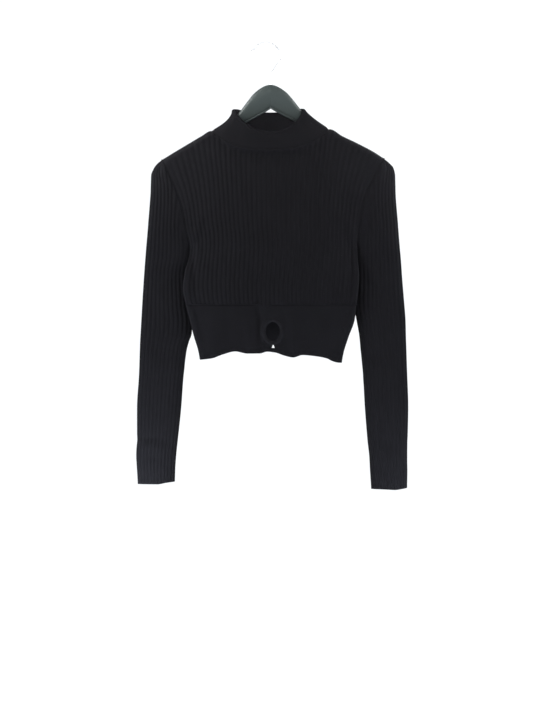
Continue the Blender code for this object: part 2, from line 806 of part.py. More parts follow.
def keyhole_ring(name):
    """The rolled edge round the keyhole, lying in the thickness of the band."""
    ring = bmesh.new()
    steps, sides = 32, 8
    rings = []
    for i in range(steps):
        turn = 2 * math.pi * i / steps
        row = []
        for j in range(sides):
            roll = 2 * math.pi * j / sides
            out = RING_WIDTH / 2 * (1 + math.cos(roll))
            x = KEYHOLE_X + (KEYHOLE_HALF_WIDTH + out) * math.cos(turn)
            z = KEYHOLE_Z + (KEYHOLE_HALF_HEIGHT + out) * math.sin(turn)
            y = float(keyhole_face(x)) + WALL / 2 + RING_THICKNESS / 2 * math.sin(roll)
            row.append(ring.verts.new((MM * x, MM * y, MM * z)))
        rings.append(row)
    for i in range(steps):
        following = rings[(i + 1) % steps]
        for j in range(sides):
            k = (j + 1) % sides
            ring.faces.new((rings[i][j], rings[i][k], following[k], following[j]))
    face_outwards(ring)
    return make_object(name, ring, "knit")


def tilted(x, z):
    """A point of the hanger, turned with it about the foot of its stem."""
    height = z - HANGER_PIVOT_Z
    return (
        HANGER_X + x * math.cos(HANGER_TILT) - height * math.sin(HANGER_TILT),
        HANGER_PIVOT_Z + x * math.sin(HANGER_TILT) + height * math.cos(HANGER_TILT),
    )


def hanger(name):
    """Moulded hanger: rounded sections swept from tip to tip, with a socket for the stem."""
    body = bmesh.new()
    stations = [(-arm.reach, arm) for arm in HANGER_ARMS[:0:-1]]
    stations += [(arm.reach, arm) for arm in HANGER_ARMS]
    sections = []
    for reach, arm in stations:
        middle, height = (arm.top + arm.foot) / 2, (arm.top - arm.foot) / 2
        section = []
        for j in range(HANGER_SIDES):
            turn = 2 * math.pi * (j + 0.5) / HANGER_SIDES
            wide, tall = math.cos(turn), math.sin(turn)
            y = arm.depth * math.copysign(abs(wide) ** HANGER_ROUNDNESS, wide)
            z = middle + height * math.copysign(abs(tall) ** HANGER_ROUNDNESS, tall)
            x, z = tilted(reach, z)
            section.append(body.verts.new((MM * x, MM * y, MM * z)))
        sections.append(section)
    for here, there in zip(sections, sections[1:]):
        for j in range(HANGER_SIDES):
            k = (j + 1) % HANGER_SIDES
            body.faces.new((here[j], here[k], there[k], there[j]))
    body.faces.new(sections[0])
    body.faces.new(sections[-1])
    face_outwards(body)
    made = make_object(name, body, "plastic")
    socket = bmesh.new()
    top = HANGER_PIVOT_Z + SOCKET_OVERRUN
    foot = STEM_FOOT - SOCKET_CLEARANCE
    radius = WIRE / 2 + SOCKET_CLEARANCE
    bmesh.ops.create_cone(
        socket, cap_ends=True, segments=12, radius1=MM * radius, radius2=MM * radius,
        depth=MM * (top - foot),
    )
    middle = (MM * HANGER_X, 0, MM * (top + foot) / 2)
    bmesh.ops.translate(socket, verts=socket.verts[:], vec=middle)
    cut(made, cutter("socket_cut", socket))
    return made


def hook_route():
    """Centre line of the hook's wire, from the foot of its stem to its flared tip."""
    route = [(HANGER_X, STEM_FOOT), (HANGER_X, STEM_TOP - 4.0), (HANGER_X + 0.7, STEM_TOP + 1.0)]
    middle = WIRE / 2 - HOOK_RADIUS
    for degrees in range(-24, 151, 12):
        turn = math.radians(degrees)
        route.append((HOOK_RADIUS * math.cos(turn), middle + HOOK_RADIUS * math.sin(turn)))
    route += [(-24.6, -13.2), (-27.4, -15.0)]
    return route


def hook(name):
    """The wire hook, a round wire with closed ends."""
    line = bpy.data.curves.new(name, "CURVE")
    line.dimensions = "3D"
    line.bevel_depth = MM * WIRE / 2
    line.bevel_resolution = 2
    line.use_fill_caps = True
    spline = line.splines.new("POLY")
    route = hook_route()
    spline.points.add(len(route) - 1)
    for point, (x, z) in zip(spline.points, route):
        point.co = (MM * x, 0, MM * z, 1)
    line.materials.append(material("chrome"))
    made = bpy.data.objects.new(name, line)
    bpy.data.collections["sweater"].objects.link(made)
    return made


def clear_scene():
    """Start from nothing, with one collection for the pieces and one for the cutters."""
    for old in list(bpy.data.objects):
        bpy.data.objects.remove(old, do_unlink=True)
    for name in ("sweater", "cutters"):
        made = bpy.data.collections.new(name)
        bpy.context.scene.collection.children.link(made)


def main():
    """Build every piece."""
    clear_scene()
    body_panel("front_panel", True)
    body_panel("back_panel", False)
    sleeve("sleeve_left", SLEEVE_LEFT_EDGES, -1, CUFF_LEFT)
    sleeve("sleeve_right", SLEEVE_RIGHT_EDGES, 1, CUFF_RIGHT)
    collar("collar")
    front_band = band_wall("band_front", True)
    for tool in keyhole_cutters():
        cut(front_band, tool)
    band_wall("band_back", False)
    keyhole_ring("keyhole_binding")
    hanger("hanger_body")
    hook("hanger_hook")


main()
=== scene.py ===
"""Looks of a cropped rib-knit sweater on a moulded hanger with a wire hook.

Lengths are millimetres and become metres when a mesh is made. X runs to the right
as seen from the front, Y to the back, Z up from the inner crown of the hook. The
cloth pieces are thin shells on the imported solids' form, with finer ribs, creases,
seams and edges. The hanger and the hook are modelled again in a finer form.
"""

from __future__ import annotations

import logging
import math
from dataclasses import dataclass
from enum import Enum

import bmesh
import bpy
import numpy as np
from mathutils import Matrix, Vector


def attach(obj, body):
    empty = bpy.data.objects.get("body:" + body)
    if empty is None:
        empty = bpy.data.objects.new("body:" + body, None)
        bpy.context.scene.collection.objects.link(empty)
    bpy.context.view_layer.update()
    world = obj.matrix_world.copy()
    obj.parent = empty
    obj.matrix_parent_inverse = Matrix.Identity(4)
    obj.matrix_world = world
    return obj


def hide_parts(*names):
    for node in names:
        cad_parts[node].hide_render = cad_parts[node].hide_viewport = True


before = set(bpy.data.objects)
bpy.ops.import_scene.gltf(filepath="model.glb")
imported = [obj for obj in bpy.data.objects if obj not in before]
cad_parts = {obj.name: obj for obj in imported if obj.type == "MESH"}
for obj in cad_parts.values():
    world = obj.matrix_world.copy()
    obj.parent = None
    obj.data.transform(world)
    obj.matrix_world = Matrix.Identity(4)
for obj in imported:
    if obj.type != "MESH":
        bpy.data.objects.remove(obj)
LOG = logging.getLogger("sweater")
MM = 0.001
Array = np.ndarray
Place = tuple[float, float, float]
Colour = tuple[float, float, float]
WHITE: Colour = (1.0, 1.0, 1.0)
SKY: Colour = (0.90, 0.96, 1.08)
RIB_ROUNDNESS = 0.75
TRIANGLE_WIDTH = 1.732
TRIANGLE_HEIGHT = 1.5


class Face(Enum):
    """The front or back of the garment, as the sign of Y that it faces."""

    FRONT = -1
    BACK = 1


class Side(Enum):
    """The left or right of the garment as seen from the front, as the sign of X."""

    LEFT = -1
    RIGHT = 1


# --- Rows of the tables that give the garment's form ---------------------------------
# Where they show, the edges, shoulder line, front hem, cuffs, collar and hanger are
# measurements of the outline in the photograph, at 1.8 mm a pixel, and aren't worked out
# from sizes. Hidden places and all depths are guessed.


@dataclass(frozen=True)
class Edge:
    """Left and right edge of a tube of cloth at one height; a sleeve's left is its outer fold."""

    z: float
    left: float
    right: float


@dataclass(frozen=True)
class Depth:
    """Half depths of the body at one height, and the share of its oval that the panels fill."""

    z: float
    front: float
    back: float
    share: float


@dataclass(frozen=True)
class Spot:
    """A point of a line drawn on the front view."""

    x: float
    z: float


@dataclass(frozen=True)
class Shift:
    """How far back a sleeve hangs, and its half depth, at one height."""

    z: float
    back: float
    depth: float


@dataclass(frozen=True)
class Arm:
    """Top, foot and half depth of the hanger at one distance from its middle."""

    reach: float
    top: float
    foot: float
    depth: float


@dataclass(frozen=True)
class Crease:
    """A soft fold: a bowed line on the front view, its half width, and its lift, minus for a trough."""

    start: Spot
    bow: Spot
    end: Spot
    width: float
    lift: float

    def raised(self, x: Array, z: Array) -> Array:
        """Lift of the cloth at places on the front view.

        Args:
            x: Places across, in millimetres.
            z: Heights, in millimetres.

        Returns:
            How far the fold lifts the cloth there.
        """
        t = np.linspace(0, 1, 25)
        line_x = (1 - t) ** 2 * self.start.x + 2 * t * (1 - t) * self.bow.x + t**2 * self.end.x
        line_z = (1 - t) ** 2 * self.start.z + 2 * t * (1 - t) * self.bow.z + t**2 * self.end.z
        apart = (x[..., None] - line_x) ** 2 + (z[..., None] - line_z) ** 2
        nearest = np.argmin(apart, axis=-1)
        taper = np.sin(math.pi * np.clip(t[nearest], 0.04, 0.96)) ** 0.6
        return self.lift * taper * np.exp(-np.min(apart, axis=-1) / self.width**2)


# --- Reading curves and surfaces ------------------------------------------------------


def smooth(places: list[float], values: list[float], at: Array) -> Array:
    """Cubic through a table that never overshoots.

    Args:
        places: Where the values are given.
        values: The values.
        at: Where to read the curve.

    Returns:
        The curve's values.
    """
    order = np.argsort(places)
    x = np.asarray(places, float)[order]
    y = np.asarray(values, float)[order]
    step = np.diff(x)
    slope = np.diff(y) / step
    tangent = np.zeros(len(x))
    tangent[0], tangent[-1] = slope[0], slope[-1]
    for i in range(1, len(x) - 1):
        if slope[i - 1] * slope[i] > 0:
            tangent[i] = 2 * slope[i - 1] * slope[i] / (slope[i - 1] + slope[i])
    at = np.clip(np.asarray(at, float), x[0], x[-1])
    i = np.clip(np.searchsorted(x, at, side="right") - 1, 0, len(step) - 1)
    t = (at - x[i]) / step[i]
    start = (1 + 2 * t) * (1 - t) ** 2 * y[i] + t * (1 - t) ** 2 * step[i] * tangent[i]
    end = t**2 * (3 - 2 * t) * y[i + 1] - t**2 * (1 - t) * step[i] * tangent[i + 1]
    return start + end


def read(table: tuple, column: str, at: Array) -> Array:
    """One named column of a table of heights, at the heights `at`."""
    return smooth([row.z for row in table], [getattr(row, column) for row in table], at)


def follow(line: tuple[Spot, ...], x: Array) -> Array:
    """Height of a line of spots at the places x."""
    return smooth([spot.x for spot in line], [spot.z for spot in line], x)


def oval(across: Array, power: float = 2.0) -> Array:
    """Depth of a flattened tube, 1 in the middle and 0 at its folded edges."""
    return np.clip(1 - np.abs(across) ** power, 0, 1) ** (1 / power)


def unit(vectors: Array) -> Array:
    """The vectors at length 1; a zero vector stays zero."""
    return vectors / np.maximum(np.linalg.norm(vectors, axis=-1, keepdims=True), 1e-9)


def sides(edges: tuple[Edge, ...], z: Array) -> tuple[Array, Array]:
    """Left and right edge at the heights z."""
    return read(edges, "left", z), read(edges, "right", z)


def between(left: Array, right: Array, across: Array) -> Array:
    """Places from the left one, where across is -1, to the right one, where it is 1."""
    return (left * (1 - across) + right * (1 + across)) / 2


def from_sides(columns: Array) -> Array:
    """Each column's distance from the nearer side of its row."""
    return np.minimum(columns, columns[::-1])


def run_along(steps: Array) -> Array:
    """Distance of each point of a line from its first, from the steps between them."""
    return np.concatenate([[0.0], np.cumsum(steps)])


def run_down(points: Array) -> Array:
    """Distance of each row of a grid from its first, by the usual step between them."""
    return run_along(np.median(np.linalg.norm(np.diff(points, axis=0), axis=2), axis=1))


def swell(distance: Array, height: float, width: float) -> Array:
    """A soft ridge, or a trough where the height is negative, by distance from its middle."""
    return height * np.exp(-((distance / width) ** 2))


def ribbing(rib: Array) -> Array:
    """Share of a rib's height at places counted in ribs, 0 in the gaps between them."""
    return (0.5 - 0.5 * np.cos(2 * math.pi * rib)) ** RIB_ROUNDNESS


def grid_normals(points: Array, outward: int, ring: bool) -> Array:
    """Unit normals of a grid of points.

    Args:
        points: Rows of points.
        outward: The sign that makes them face out.
        ring: Whether each row closes on itself.

    Returns:
        One normal for each point.
    """
    up = np.gradient(points, axis=0)
    if ring:
        across = np.roll(points, -1, axis=1) - np.roll(points, 1, axis=1)
    else:
        across = np.gradient(points, axis=1)
    return outward * unit(np.cross(across, up))


def fold_lift(creases: tuple[Crease, ...], points: Array) -> Array:
    """Lift of all the creases at each point of a grid."""
    lift = np.zeros(points.shape[:2])
    for crease in creases:
        lift += crease.raised(points[..., 0], points[..., 2])
    return lift


def slack(points: Array, size: float) -> Array:
    """The slight unevenness of hanging knit, from slow waves across and down the cloth."""
    x, z = points[..., 0], points[..., 2]
    waves = np.sin(x / 23.0 + z / 61.0) + 0.8 * np.sin(x / 41.0 - z / 37.0 + 1.3)
    waves += 0.6 * np.sin(z / 19.0 + x / 90.0 + 0.4)
    return size * waves / 2.4


# --- The cloth shell ------------------------------------------------------------------


@dataclass
class Shell:
    """A thin wall of cloth: a fine outer face, a coarser inner face, and closed rims."""

    name: str
    plain: Array
    normals: Array
    relief: Array
    places: Array
    ring: bool
    wall: float
    rolled_end: bool = False
    column_step: int = 4
    row_step: int = 2
    course: float = 8.4

    ROLL_ANGLES = (20.0, 45.0, 70.0, 95.0, 120.0, 145.0)

    def rolled(self) -> tuple[Array, Array]:
        """Rows that turn the outer face round its last row's free edge to the inner face.

        Returns:
            The rows of points, from the outer face inwards, and how far each goes.
        """
        edge, normal = self.plain[-1], self.normals[-1]
        along = unit(edge - self.plain[-2])
        middle = edge - normal * self.wall / 2
        rows = []
        for degrees in self.ROLL_ANGLES:
            turn = math.radians(degrees)
            ribs = self.relief[-1][:, None] * (1 + math.cos(turn)) / 2
            rows.append(
                middle
                + normal * (self.wall / 2 * math.cos(turn) + ribs)
                + along * (self.wall / 2) * math.sin(turn)
            )
        return np.array(rows), self.wall / 2 * np.radians(self.ROLL_ANGLES)

    def outer_rows(self) -> tuple[Array, Array]:
        """All rows of the outer face with its rolled edge, and how far down each one is."""
        outer = self.plain + self.relief[..., None] * self.normals
        run = run_down(self.plain)
        if self.rolled_end:
            rows, reach = self.rolled()
            outer = np.concatenate([outer, rows])
            run = np.concatenate([run, run[-1] + reach])
        return outer, run

    @staticmethod
    def quads(first: int, rows: int, columns: int, ring: bool, flip: bool) -> tuple[Array, Array]:
        """Quads of a grid of vertices.

        Args:
            first: Index of the grid's first vertex.
            rows: Number of rows.
            columns: Number of vertices in a row.
            ring: Whether each row closes on itself.
            flip: Whether the faces turn the other way.

        Returns:
            Vertex indices, and the grid places of the same corners with the ring unwrapped.
        """
        wide = columns if ring else columns - 1
        i, j = np.meshgrid(np.arange(rows - 1), np.arange(wide), indexing="ij")
        corners = [(i, j), (i, j + 1), (i + 1, j + 1), (i + 1, j)]
        if flip:
            corners = corners[::-1]
        vertices = np.stack([first + a * columns + b % columns for a, b in corners], axis=-1)
        places = np.stack([np.stack([a, b], axis=-1) for a, b in corners], axis=-2)
        return vertices.reshape(-1, 4), places.reshape(-1, 4, 2)

    @staticmethod
    def fan(coarse: Array, fine: Array, step: int) -> list[tuple[int, int, int]]:
        """Triangles between a coarse rim and a fine one that has `step` edges for each of its own."""
        faces = []
        for k in range(len(coarse) - 1):
            for m in range(step):
                faces.append((coarse[k], fine[k * step + m], fine[k * step + m + 1]))
            faces.append((coarse[k], fine[(k + 1) * step], coarse[k + 1]))
        return faces

    def end_rims(self, outer: tuple[int, int], inner: tuple[int, int]) -> list[tuple]:
        """Triangles that close the first and last row, for grids of these rows and columns."""
        rims = []
        for end in (False, True):
            fine = np.arange(outer[1]) + end * (outer[0] - 1) * outer[1]
            coarse = outer[0] * outer[1] + np.arange(inner[1]) + end * (inner[0] - 1) * inner[1]
            if self.ring:
                fine = np.append(fine, fine[0])
                coarse = np.append(coarse, coarse[0])
            rims += self.fan(coarse.tolist(), fine.tolist(), self.column_step)
        return rims

    def side_rims(self, outer: tuple[int, int], inner: tuple[int, int]) -> list[tuple]:
        """Triangles that close both sides, and the ends of the rolled edge's rows."""
        rims = []
        last = len(self.plain) - 1
        for end in (False, True):
            fine = np.arange(outer[0]) * outer[1] + end * (outer[1] - 1)
            coarse = outer[0] * outer[1] + np.arange(inner[0]) * inner[1] + end * (inner[1] - 1)
            rims += self.fan(coarse.tolist(), fine[: last + 1].tolist(), self.row_step)
            rims += [(coarse[-1], fine[k], fine[k + 1]) for k in range(last, outer[0] - 1)]
        return rims

    def build(self, material: bpy.types.Material) -> bpy.types.Object:
        """Make the closed shell as one smooth mesh object with a map in ribs and courses."""
        outer, run = self.outer_rows()
        inner = (self.plain - self.wall * self.normals)[:: self.row_step, :: self.column_step]
        rows, columns = outer.shape[:2]
        inner_rows, inner_columns = inner.shape[:2]
        first_inner = rows * columns
        outer_faces, outer_at = self.quads(0, rows, columns, self.ring, False)
        inner_faces, inner_at = self.quads(first_inner, inner_rows, inner_columns, self.ring, True)
        rims = self.end_rims(outer.shape[:2], inner.shape[:2])
        if not self.ring:
            rims += self.side_rims(outer.shape[:2], inner.shape[:2])
        points = np.concatenate([outer.reshape(-1, 3), inner.reshape(-1, 3)]) * MM
        faces = outer_faces.tolist() + inner_faces.tolist() + rims
        mesh = bpy.data.meshes.new(self.name)
        mesh.from_pydata(points.tolist(), [], faces)
        places = np.append(self.places, 2 * self.places[-1] - self.places[-2])
        across = places[outer_at[..., 1]]
        down = run[outer_at[..., 0]] / self.course
        outer_map = np.stack([across, down], axis=-1).reshape(-1, 2)
        across = places[np.minimum(inner_at[..., 1] * self.column_step, len(places) - 1)]
        down = run[np.minimum(inner_at[..., 0] * self.row_step, rows - 1)] / self.course
        inner_map = np.stack([across, down], axis=-1).reshape(-1, 2)
        rim_map = np.zeros((3 * len(rims), 2))
        # Marks the inner face's points; the knit materials paint these lighter, as painted light on the
        # inside of the cloth.
        painted_inner_light = mesh.attributes.new("inner_face_painted_light", "FLOAT", "POINT")
        painted_inner_light.data.foreach_set("value", np.arange(len(points)) >= first_inner)
        layer = mesh.uv_layers.new(name="ribs_and_courses")
        layer.data.foreach_set("uv", np.concatenate([outer_map, inner_map, rim_map]).ravel())
        return finish_cloth(self.name, mesh, material)


def finish_cloth(
    name: str, mesh: bpy.types.Mesh, material: bpy.types.Material
) -> bpy.types.Object:
    """Merge doubled points, turn the faces outwards, smooth the mesh and link its object."""
    shape = bmesh.new()
    shape.from_mesh(mesh)
    bmesh.ops.remove_doubles(shape, verts=shape.verts[:], dist=0.02 * MM)
    shape.normal_update()
    bmesh.ops.recalc_face_normals(shape, faces=shape.faces[:])
    shape.to_mesh(mesh)
    shape.free()
    mesh.shade_smooth()
    mesh.set_sharp_from_angle(angle=math.radians(60))
    mesh.materials.append(material)
    made = bpy.data.objects.new(name, mesh)
    bpy.context.scene.collection.objects.link(made)
    return made


def finish_piece(
    made: bpy.types.Object, name: str, material: bpy.types.Material
) -> bpy.types.Object:
    """Name a modelled piece, smooth it and give it its material."""
    made.name = name
    made.data.shade_smooth()
    made.data.materials.append(material)
    return made


def apply_modifier(target: bpy.types.Object, kind: str, **settings: object) -> None:
    """Add a modifier to the active object with its settings, and apply it."""
    step = target.modifiers.new(kind.lower(), kind)
    for key, value in settings.items():
        setattr(step, key, value)
    bpy.ops.object.modifier_apply(modifier=step.name)


@dataclass(frozen=True)
class Cut:
    """The flat size of a piece of cloth before it was hung, in metres."""

    width: float
    length: float
    area: float

    @classmethod
    def of(cls, points: Array, ring: bool) -> Cut:
        """Read the cut from the hanging form.

        Args:
            points: Rows of points down the cloth, in millimetres.
            ring: Whether each row closes on itself.

        Returns:
            Its width, all round on a tube, its length and its flat area.
        """
        if ring:
            points = np.concatenate([points, points[:, :1]], axis=1)
        across = np.diff(points, axis=1)
        down = np.diff(points, axis=0)
        area = np.linalg.norm(np.cross(across[:-1], down[:, :-1]), axis=-1).sum()
        width = np.linalg.norm(across, axis=-1).sum(axis=1).max()
        length = np.linalg.norm(down, axis=-1).sum(axis=0).max()
        return cls(float(width * MM), float(length * MM), float(area * MM**2))


@dataclass
class LinkedSeam:
    """A line of linking loops that joins two edges of cloth."""

    line: Array
    ring: bool
    radius: float = 0.9
    loop: float = 2.1
    swell: float = 0.3
    waver: float = 0.22
    sides: int = 8
    steps: int = 5

    def centres(self) -> Array:
        """Points along the seam, a few to each loop."""
        line = np.concatenate([self.line, self.line[:1]]) if self.ring else self.line
        run = run_along(np.linalg.norm(np.diff(line, axis=0), axis=1))
        count = max(round(run[-1] / self.loop), 3) * self.steps
        at = np.linspace(0, run[-1], count, endpoint=not self.ring)
        return np.stack([np.interp(at, run, line[:, k]) for k in range(3)], axis=-1)

    def add_to(self, shape: bmesh.types.BMesh) -> None:
        """Add the loops to a mesh that is being made."""
        points = self.centres()
        if self.ring:
            along = unit(np.roll(points, -1, axis=0) - np.roll(points, 1, axis=0))
        else:
            along = unit(np.gradient(points, axis=0))
        aside = unit(np.cross(along[0], (0.3, 0.2, 1.0)))
        rings = []
        turn = np.linspace(0, 2 * math.pi, self.sides, endpoint=False)[:, None]
        for i, (point, heading) in enumerate(zip(points, along)):
            aside = unit(aside - heading * np.dot(aside, heading))
            other = np.cross(heading, aside)
            phase = 2 * math.pi * i / self.steps
            size = self.radius * (1 + self.swell * math.cos(phase))
            middle = point + aside * self.waver * math.sin(phase)
            ring = middle + size * (np.cos(turn) * aside + np.sin(turn) * other)
            rings.append([shape.verts.new(MM * corner) for corner in ring])
        pairs = list(zip(rings, rings[1:]))
        if self.ring:
            pairs.append((rings[-1], self.aligned(rings[-1], rings[0])))
        for here, there in pairs:
            for k in range(self.sides):
                n = (k + 1) % self.sides
                shape.faces.new((here[k], here[n], there[n], there[k]))
        if not self.ring:
            shape.faces.new(rings[0][::-1])
            shape.faces.new(rings[-1])

    def aligned(self, last: list, first: list) -> list:
        """The first ring's corners, turned round so that they meet the last ring's."""
        gaps = [(first[k].co - last[0].co).length for k in range(self.sides)]
        start = gaps.index(min(gaps))
        return first[start:] + first[:start]


# --- The body's form -------------------------------------------------------------------


@dataclass(frozen=True)
class BodyForm:
    """How the front and back hang: edges, depths and the upper and lower seams."""

    ribs: int = 40
    rib_height: float = 0.9
    wall: float = 1.7
    seam_gap: float = 0.3
    band_seam: float = -468.4
    armpit: float = -369.0
    seam_dip: float = 6.0
    seam_dip_width: float = 10.0
    shoulder_wrap: float = 10.0
    shoulder_slope: float = math.radians(29.5)
    side_sway: float = -4.0
    side_sway_fade: float = 40.0
    crowding: tuple[float, float] = (0.85, 1.2)
    pitch_at_seam: float = 7.78
    pitch_gain: float = 0.0052
    neck_left: float = -98.0
    neck_right: float = 113.5
    neck_drop_front: float = 37.0
    neck_drop_back: float = 5.0
    neck_depth_front: float = 21.0
    neck_depth_back: float = 16.0
    edges: tuple[Edge, ...] = (
        Edge(-571.0, -118.8, 136.8),
        Edge(-554.8, -121.5, 140.0),
        Edge(-526.0, -130.0, 149.2),
        Edge(-497.2, -137.5, 159.5),
        Edge(-468.4, -144.8, 163.0),
        Edge(-440.0, -149.8, 166.5),
        Edge(-415.0, -147.0, 167.6),
        Edge(-391.0, -140.5, 165.2),
        Edge(-380.0, -138.0, 164.6),
        Edge(-369.0, -136.8, 164.4),
        Edge(-335.2, -144.0, 167.5),
        Edge(-302.8, -149.4, 171.5),
        Edge(-272.2, -158.4, 180.0),
        Edge(-239.8, -172.8, 194.4),
        Edge(-209.0, -187.2, 212.0),
    )
    depths: tuple[Depth, ...] = (
        Depth(-571.0, 17.0, 15.0, 1.0),
        Depth(-468.4, 20.0, 18.0, 1.0),
        Depth(-369.0, 20.0, 18.0, 1.0),
        Depth(-352.0, 20.0, 17.5, 0.95),
        Depth(-330.0, 19.5, 17.0, 0.86),
        Depth(-300.0, 18.5, 16.5, 0.78),
        Depth(-240.0, 16.5, 15.5, 0.76),
        Depth(-190.0, 15.5, 15.0, 0.76),
        Depth(-150.0, 15.0, 15.0, 0.76),
    )
    shoulder: tuple[Spot, ...] = (
        Spot(-187.2, -209.2),
        Spot(-163.8, -194.8),
        Spot(-139.7, -180.4),
        Spot(-115.4, -166.0),
        Spot(-99.0, -157.0),
        Spot(115.0, -154.0),
        Spot(136.6, -166.0),
        Spot(166.5, -180.4),
        Spot(193.5, -194.8),
        Spot(212.0, -206.8),
    )

    def neck_place(self, x: Array) -> Array:
        """Place across the neck, -1 at its left corner and 1 at its right one."""
        middle = (self.neck_left + self.neck_right) / 2
        return (x - middle) / ((self.neck_right - self.neck_left) / 2)

    def top_line(self, x: Array, face: Face) -> tuple[Array, Array]:
        """Height and depth of a panel's upper edge: shoulder, neck, shoulder."""
        front = face is Face.FRONT
        drop = self.neck_drop_front if front else self.neck_drop_back
        depth = self.neck_depth_front if front else self.neck_depth_back
        place = np.clip(np.abs(self.neck_place(x)), 0, 1)
        return follow(self.shoulder, x) - drop * (1 - place**3), depth * np.sqrt(1 - place**5)

    def seam_height(self, x: Array) -> Array:
        """Height of the seam between the ribbed body and the band, with its small dip."""
        return self.band_seam - self.seam_dip * np.exp(-((x / self.seam_dip_width) ** 2))

    def depth(self, across: Array, z: Array, face: Face) -> Array:
        """Distance from the middle plane to the body's outer face."""
        share = read(self.depths, "share", z)
        column = "front" if face is Face.FRONT else "back"
        return read(self.depths, column, z) * oval(share * across)

    def sway(self, across: Array, z: Array) -> Array:
        """How far the folded sides hang forward of the sleeves."""
        below = np.clip((self.armpit - z) / self.side_sway_fade, 0, 1)
        return self.side_sway * below * np.abs(across) ** 4

    def point(self, across: Array, up: Array, face: Face) -> Array:
        """Outer face without ribs.

        Args:
            across: Places from -1, the left edge, to 1.
            up: Places from 0, the band seam, to 1, the shoulder or neck.
            face: Front or back.

        Returns:
            The points.
        """
        last = self.edges[-1]
        x_top = between(last.left, last.right, across)
        z_top, y_top = self.top_line(x_top, face)
        z_foot = self.seam_height(x_top)
        z = z_foot + (z_top - z_foot) * up
        x = between(*sides(self.edges, z), across)
        wrap = np.clip((z_top - z) * math.cos(self.shoulder_slope) / self.shoulder_wrap, 0, 1)
        turn = np.sqrt(1 - (1 - wrap) ** 2)
        y = y_top + (self.depth(across, z, face) - y_top) * turn
        y = face.value * (y + self.seam_gap / 2) + self.sway(across, z)
        return np.stack([x, y, z], axis=-1)

    def rib_places(self, up: float, columns: int) -> Array:
        """Places across a row, even along the cloth but for the crowding at its sides."""
        across = np.sin(np.linspace(-math.pi / 2, math.pi / 2, 801))
        line = self.point(across, np.full_like(across, up), Face.FRONT)
        run = run_along(np.hypot(np.diff(line[:, 0]), np.diff(line[:, 1])))
        middle = line[len(line) // 2, 2]
        pitch = self.pitch_at_seam + self.pitch_gain * (middle - self.band_seam)
        crowd = np.clip(pitch * self.ribs / run[-1], *self.crowding)
        rib = np.linspace(-1, 1, columns)
        spread = crowd * rib + (1 - crowd) * rib**3
        return np.interp(run[-1] * (1 + spread) / 2, run, across)

    def armpit_place(self) -> float:
        """The armpit's height as a place between the band seam and the shoulder."""
        return (self.armpit - self.band_seam) / (self.edges[-1].z - self.band_seam)


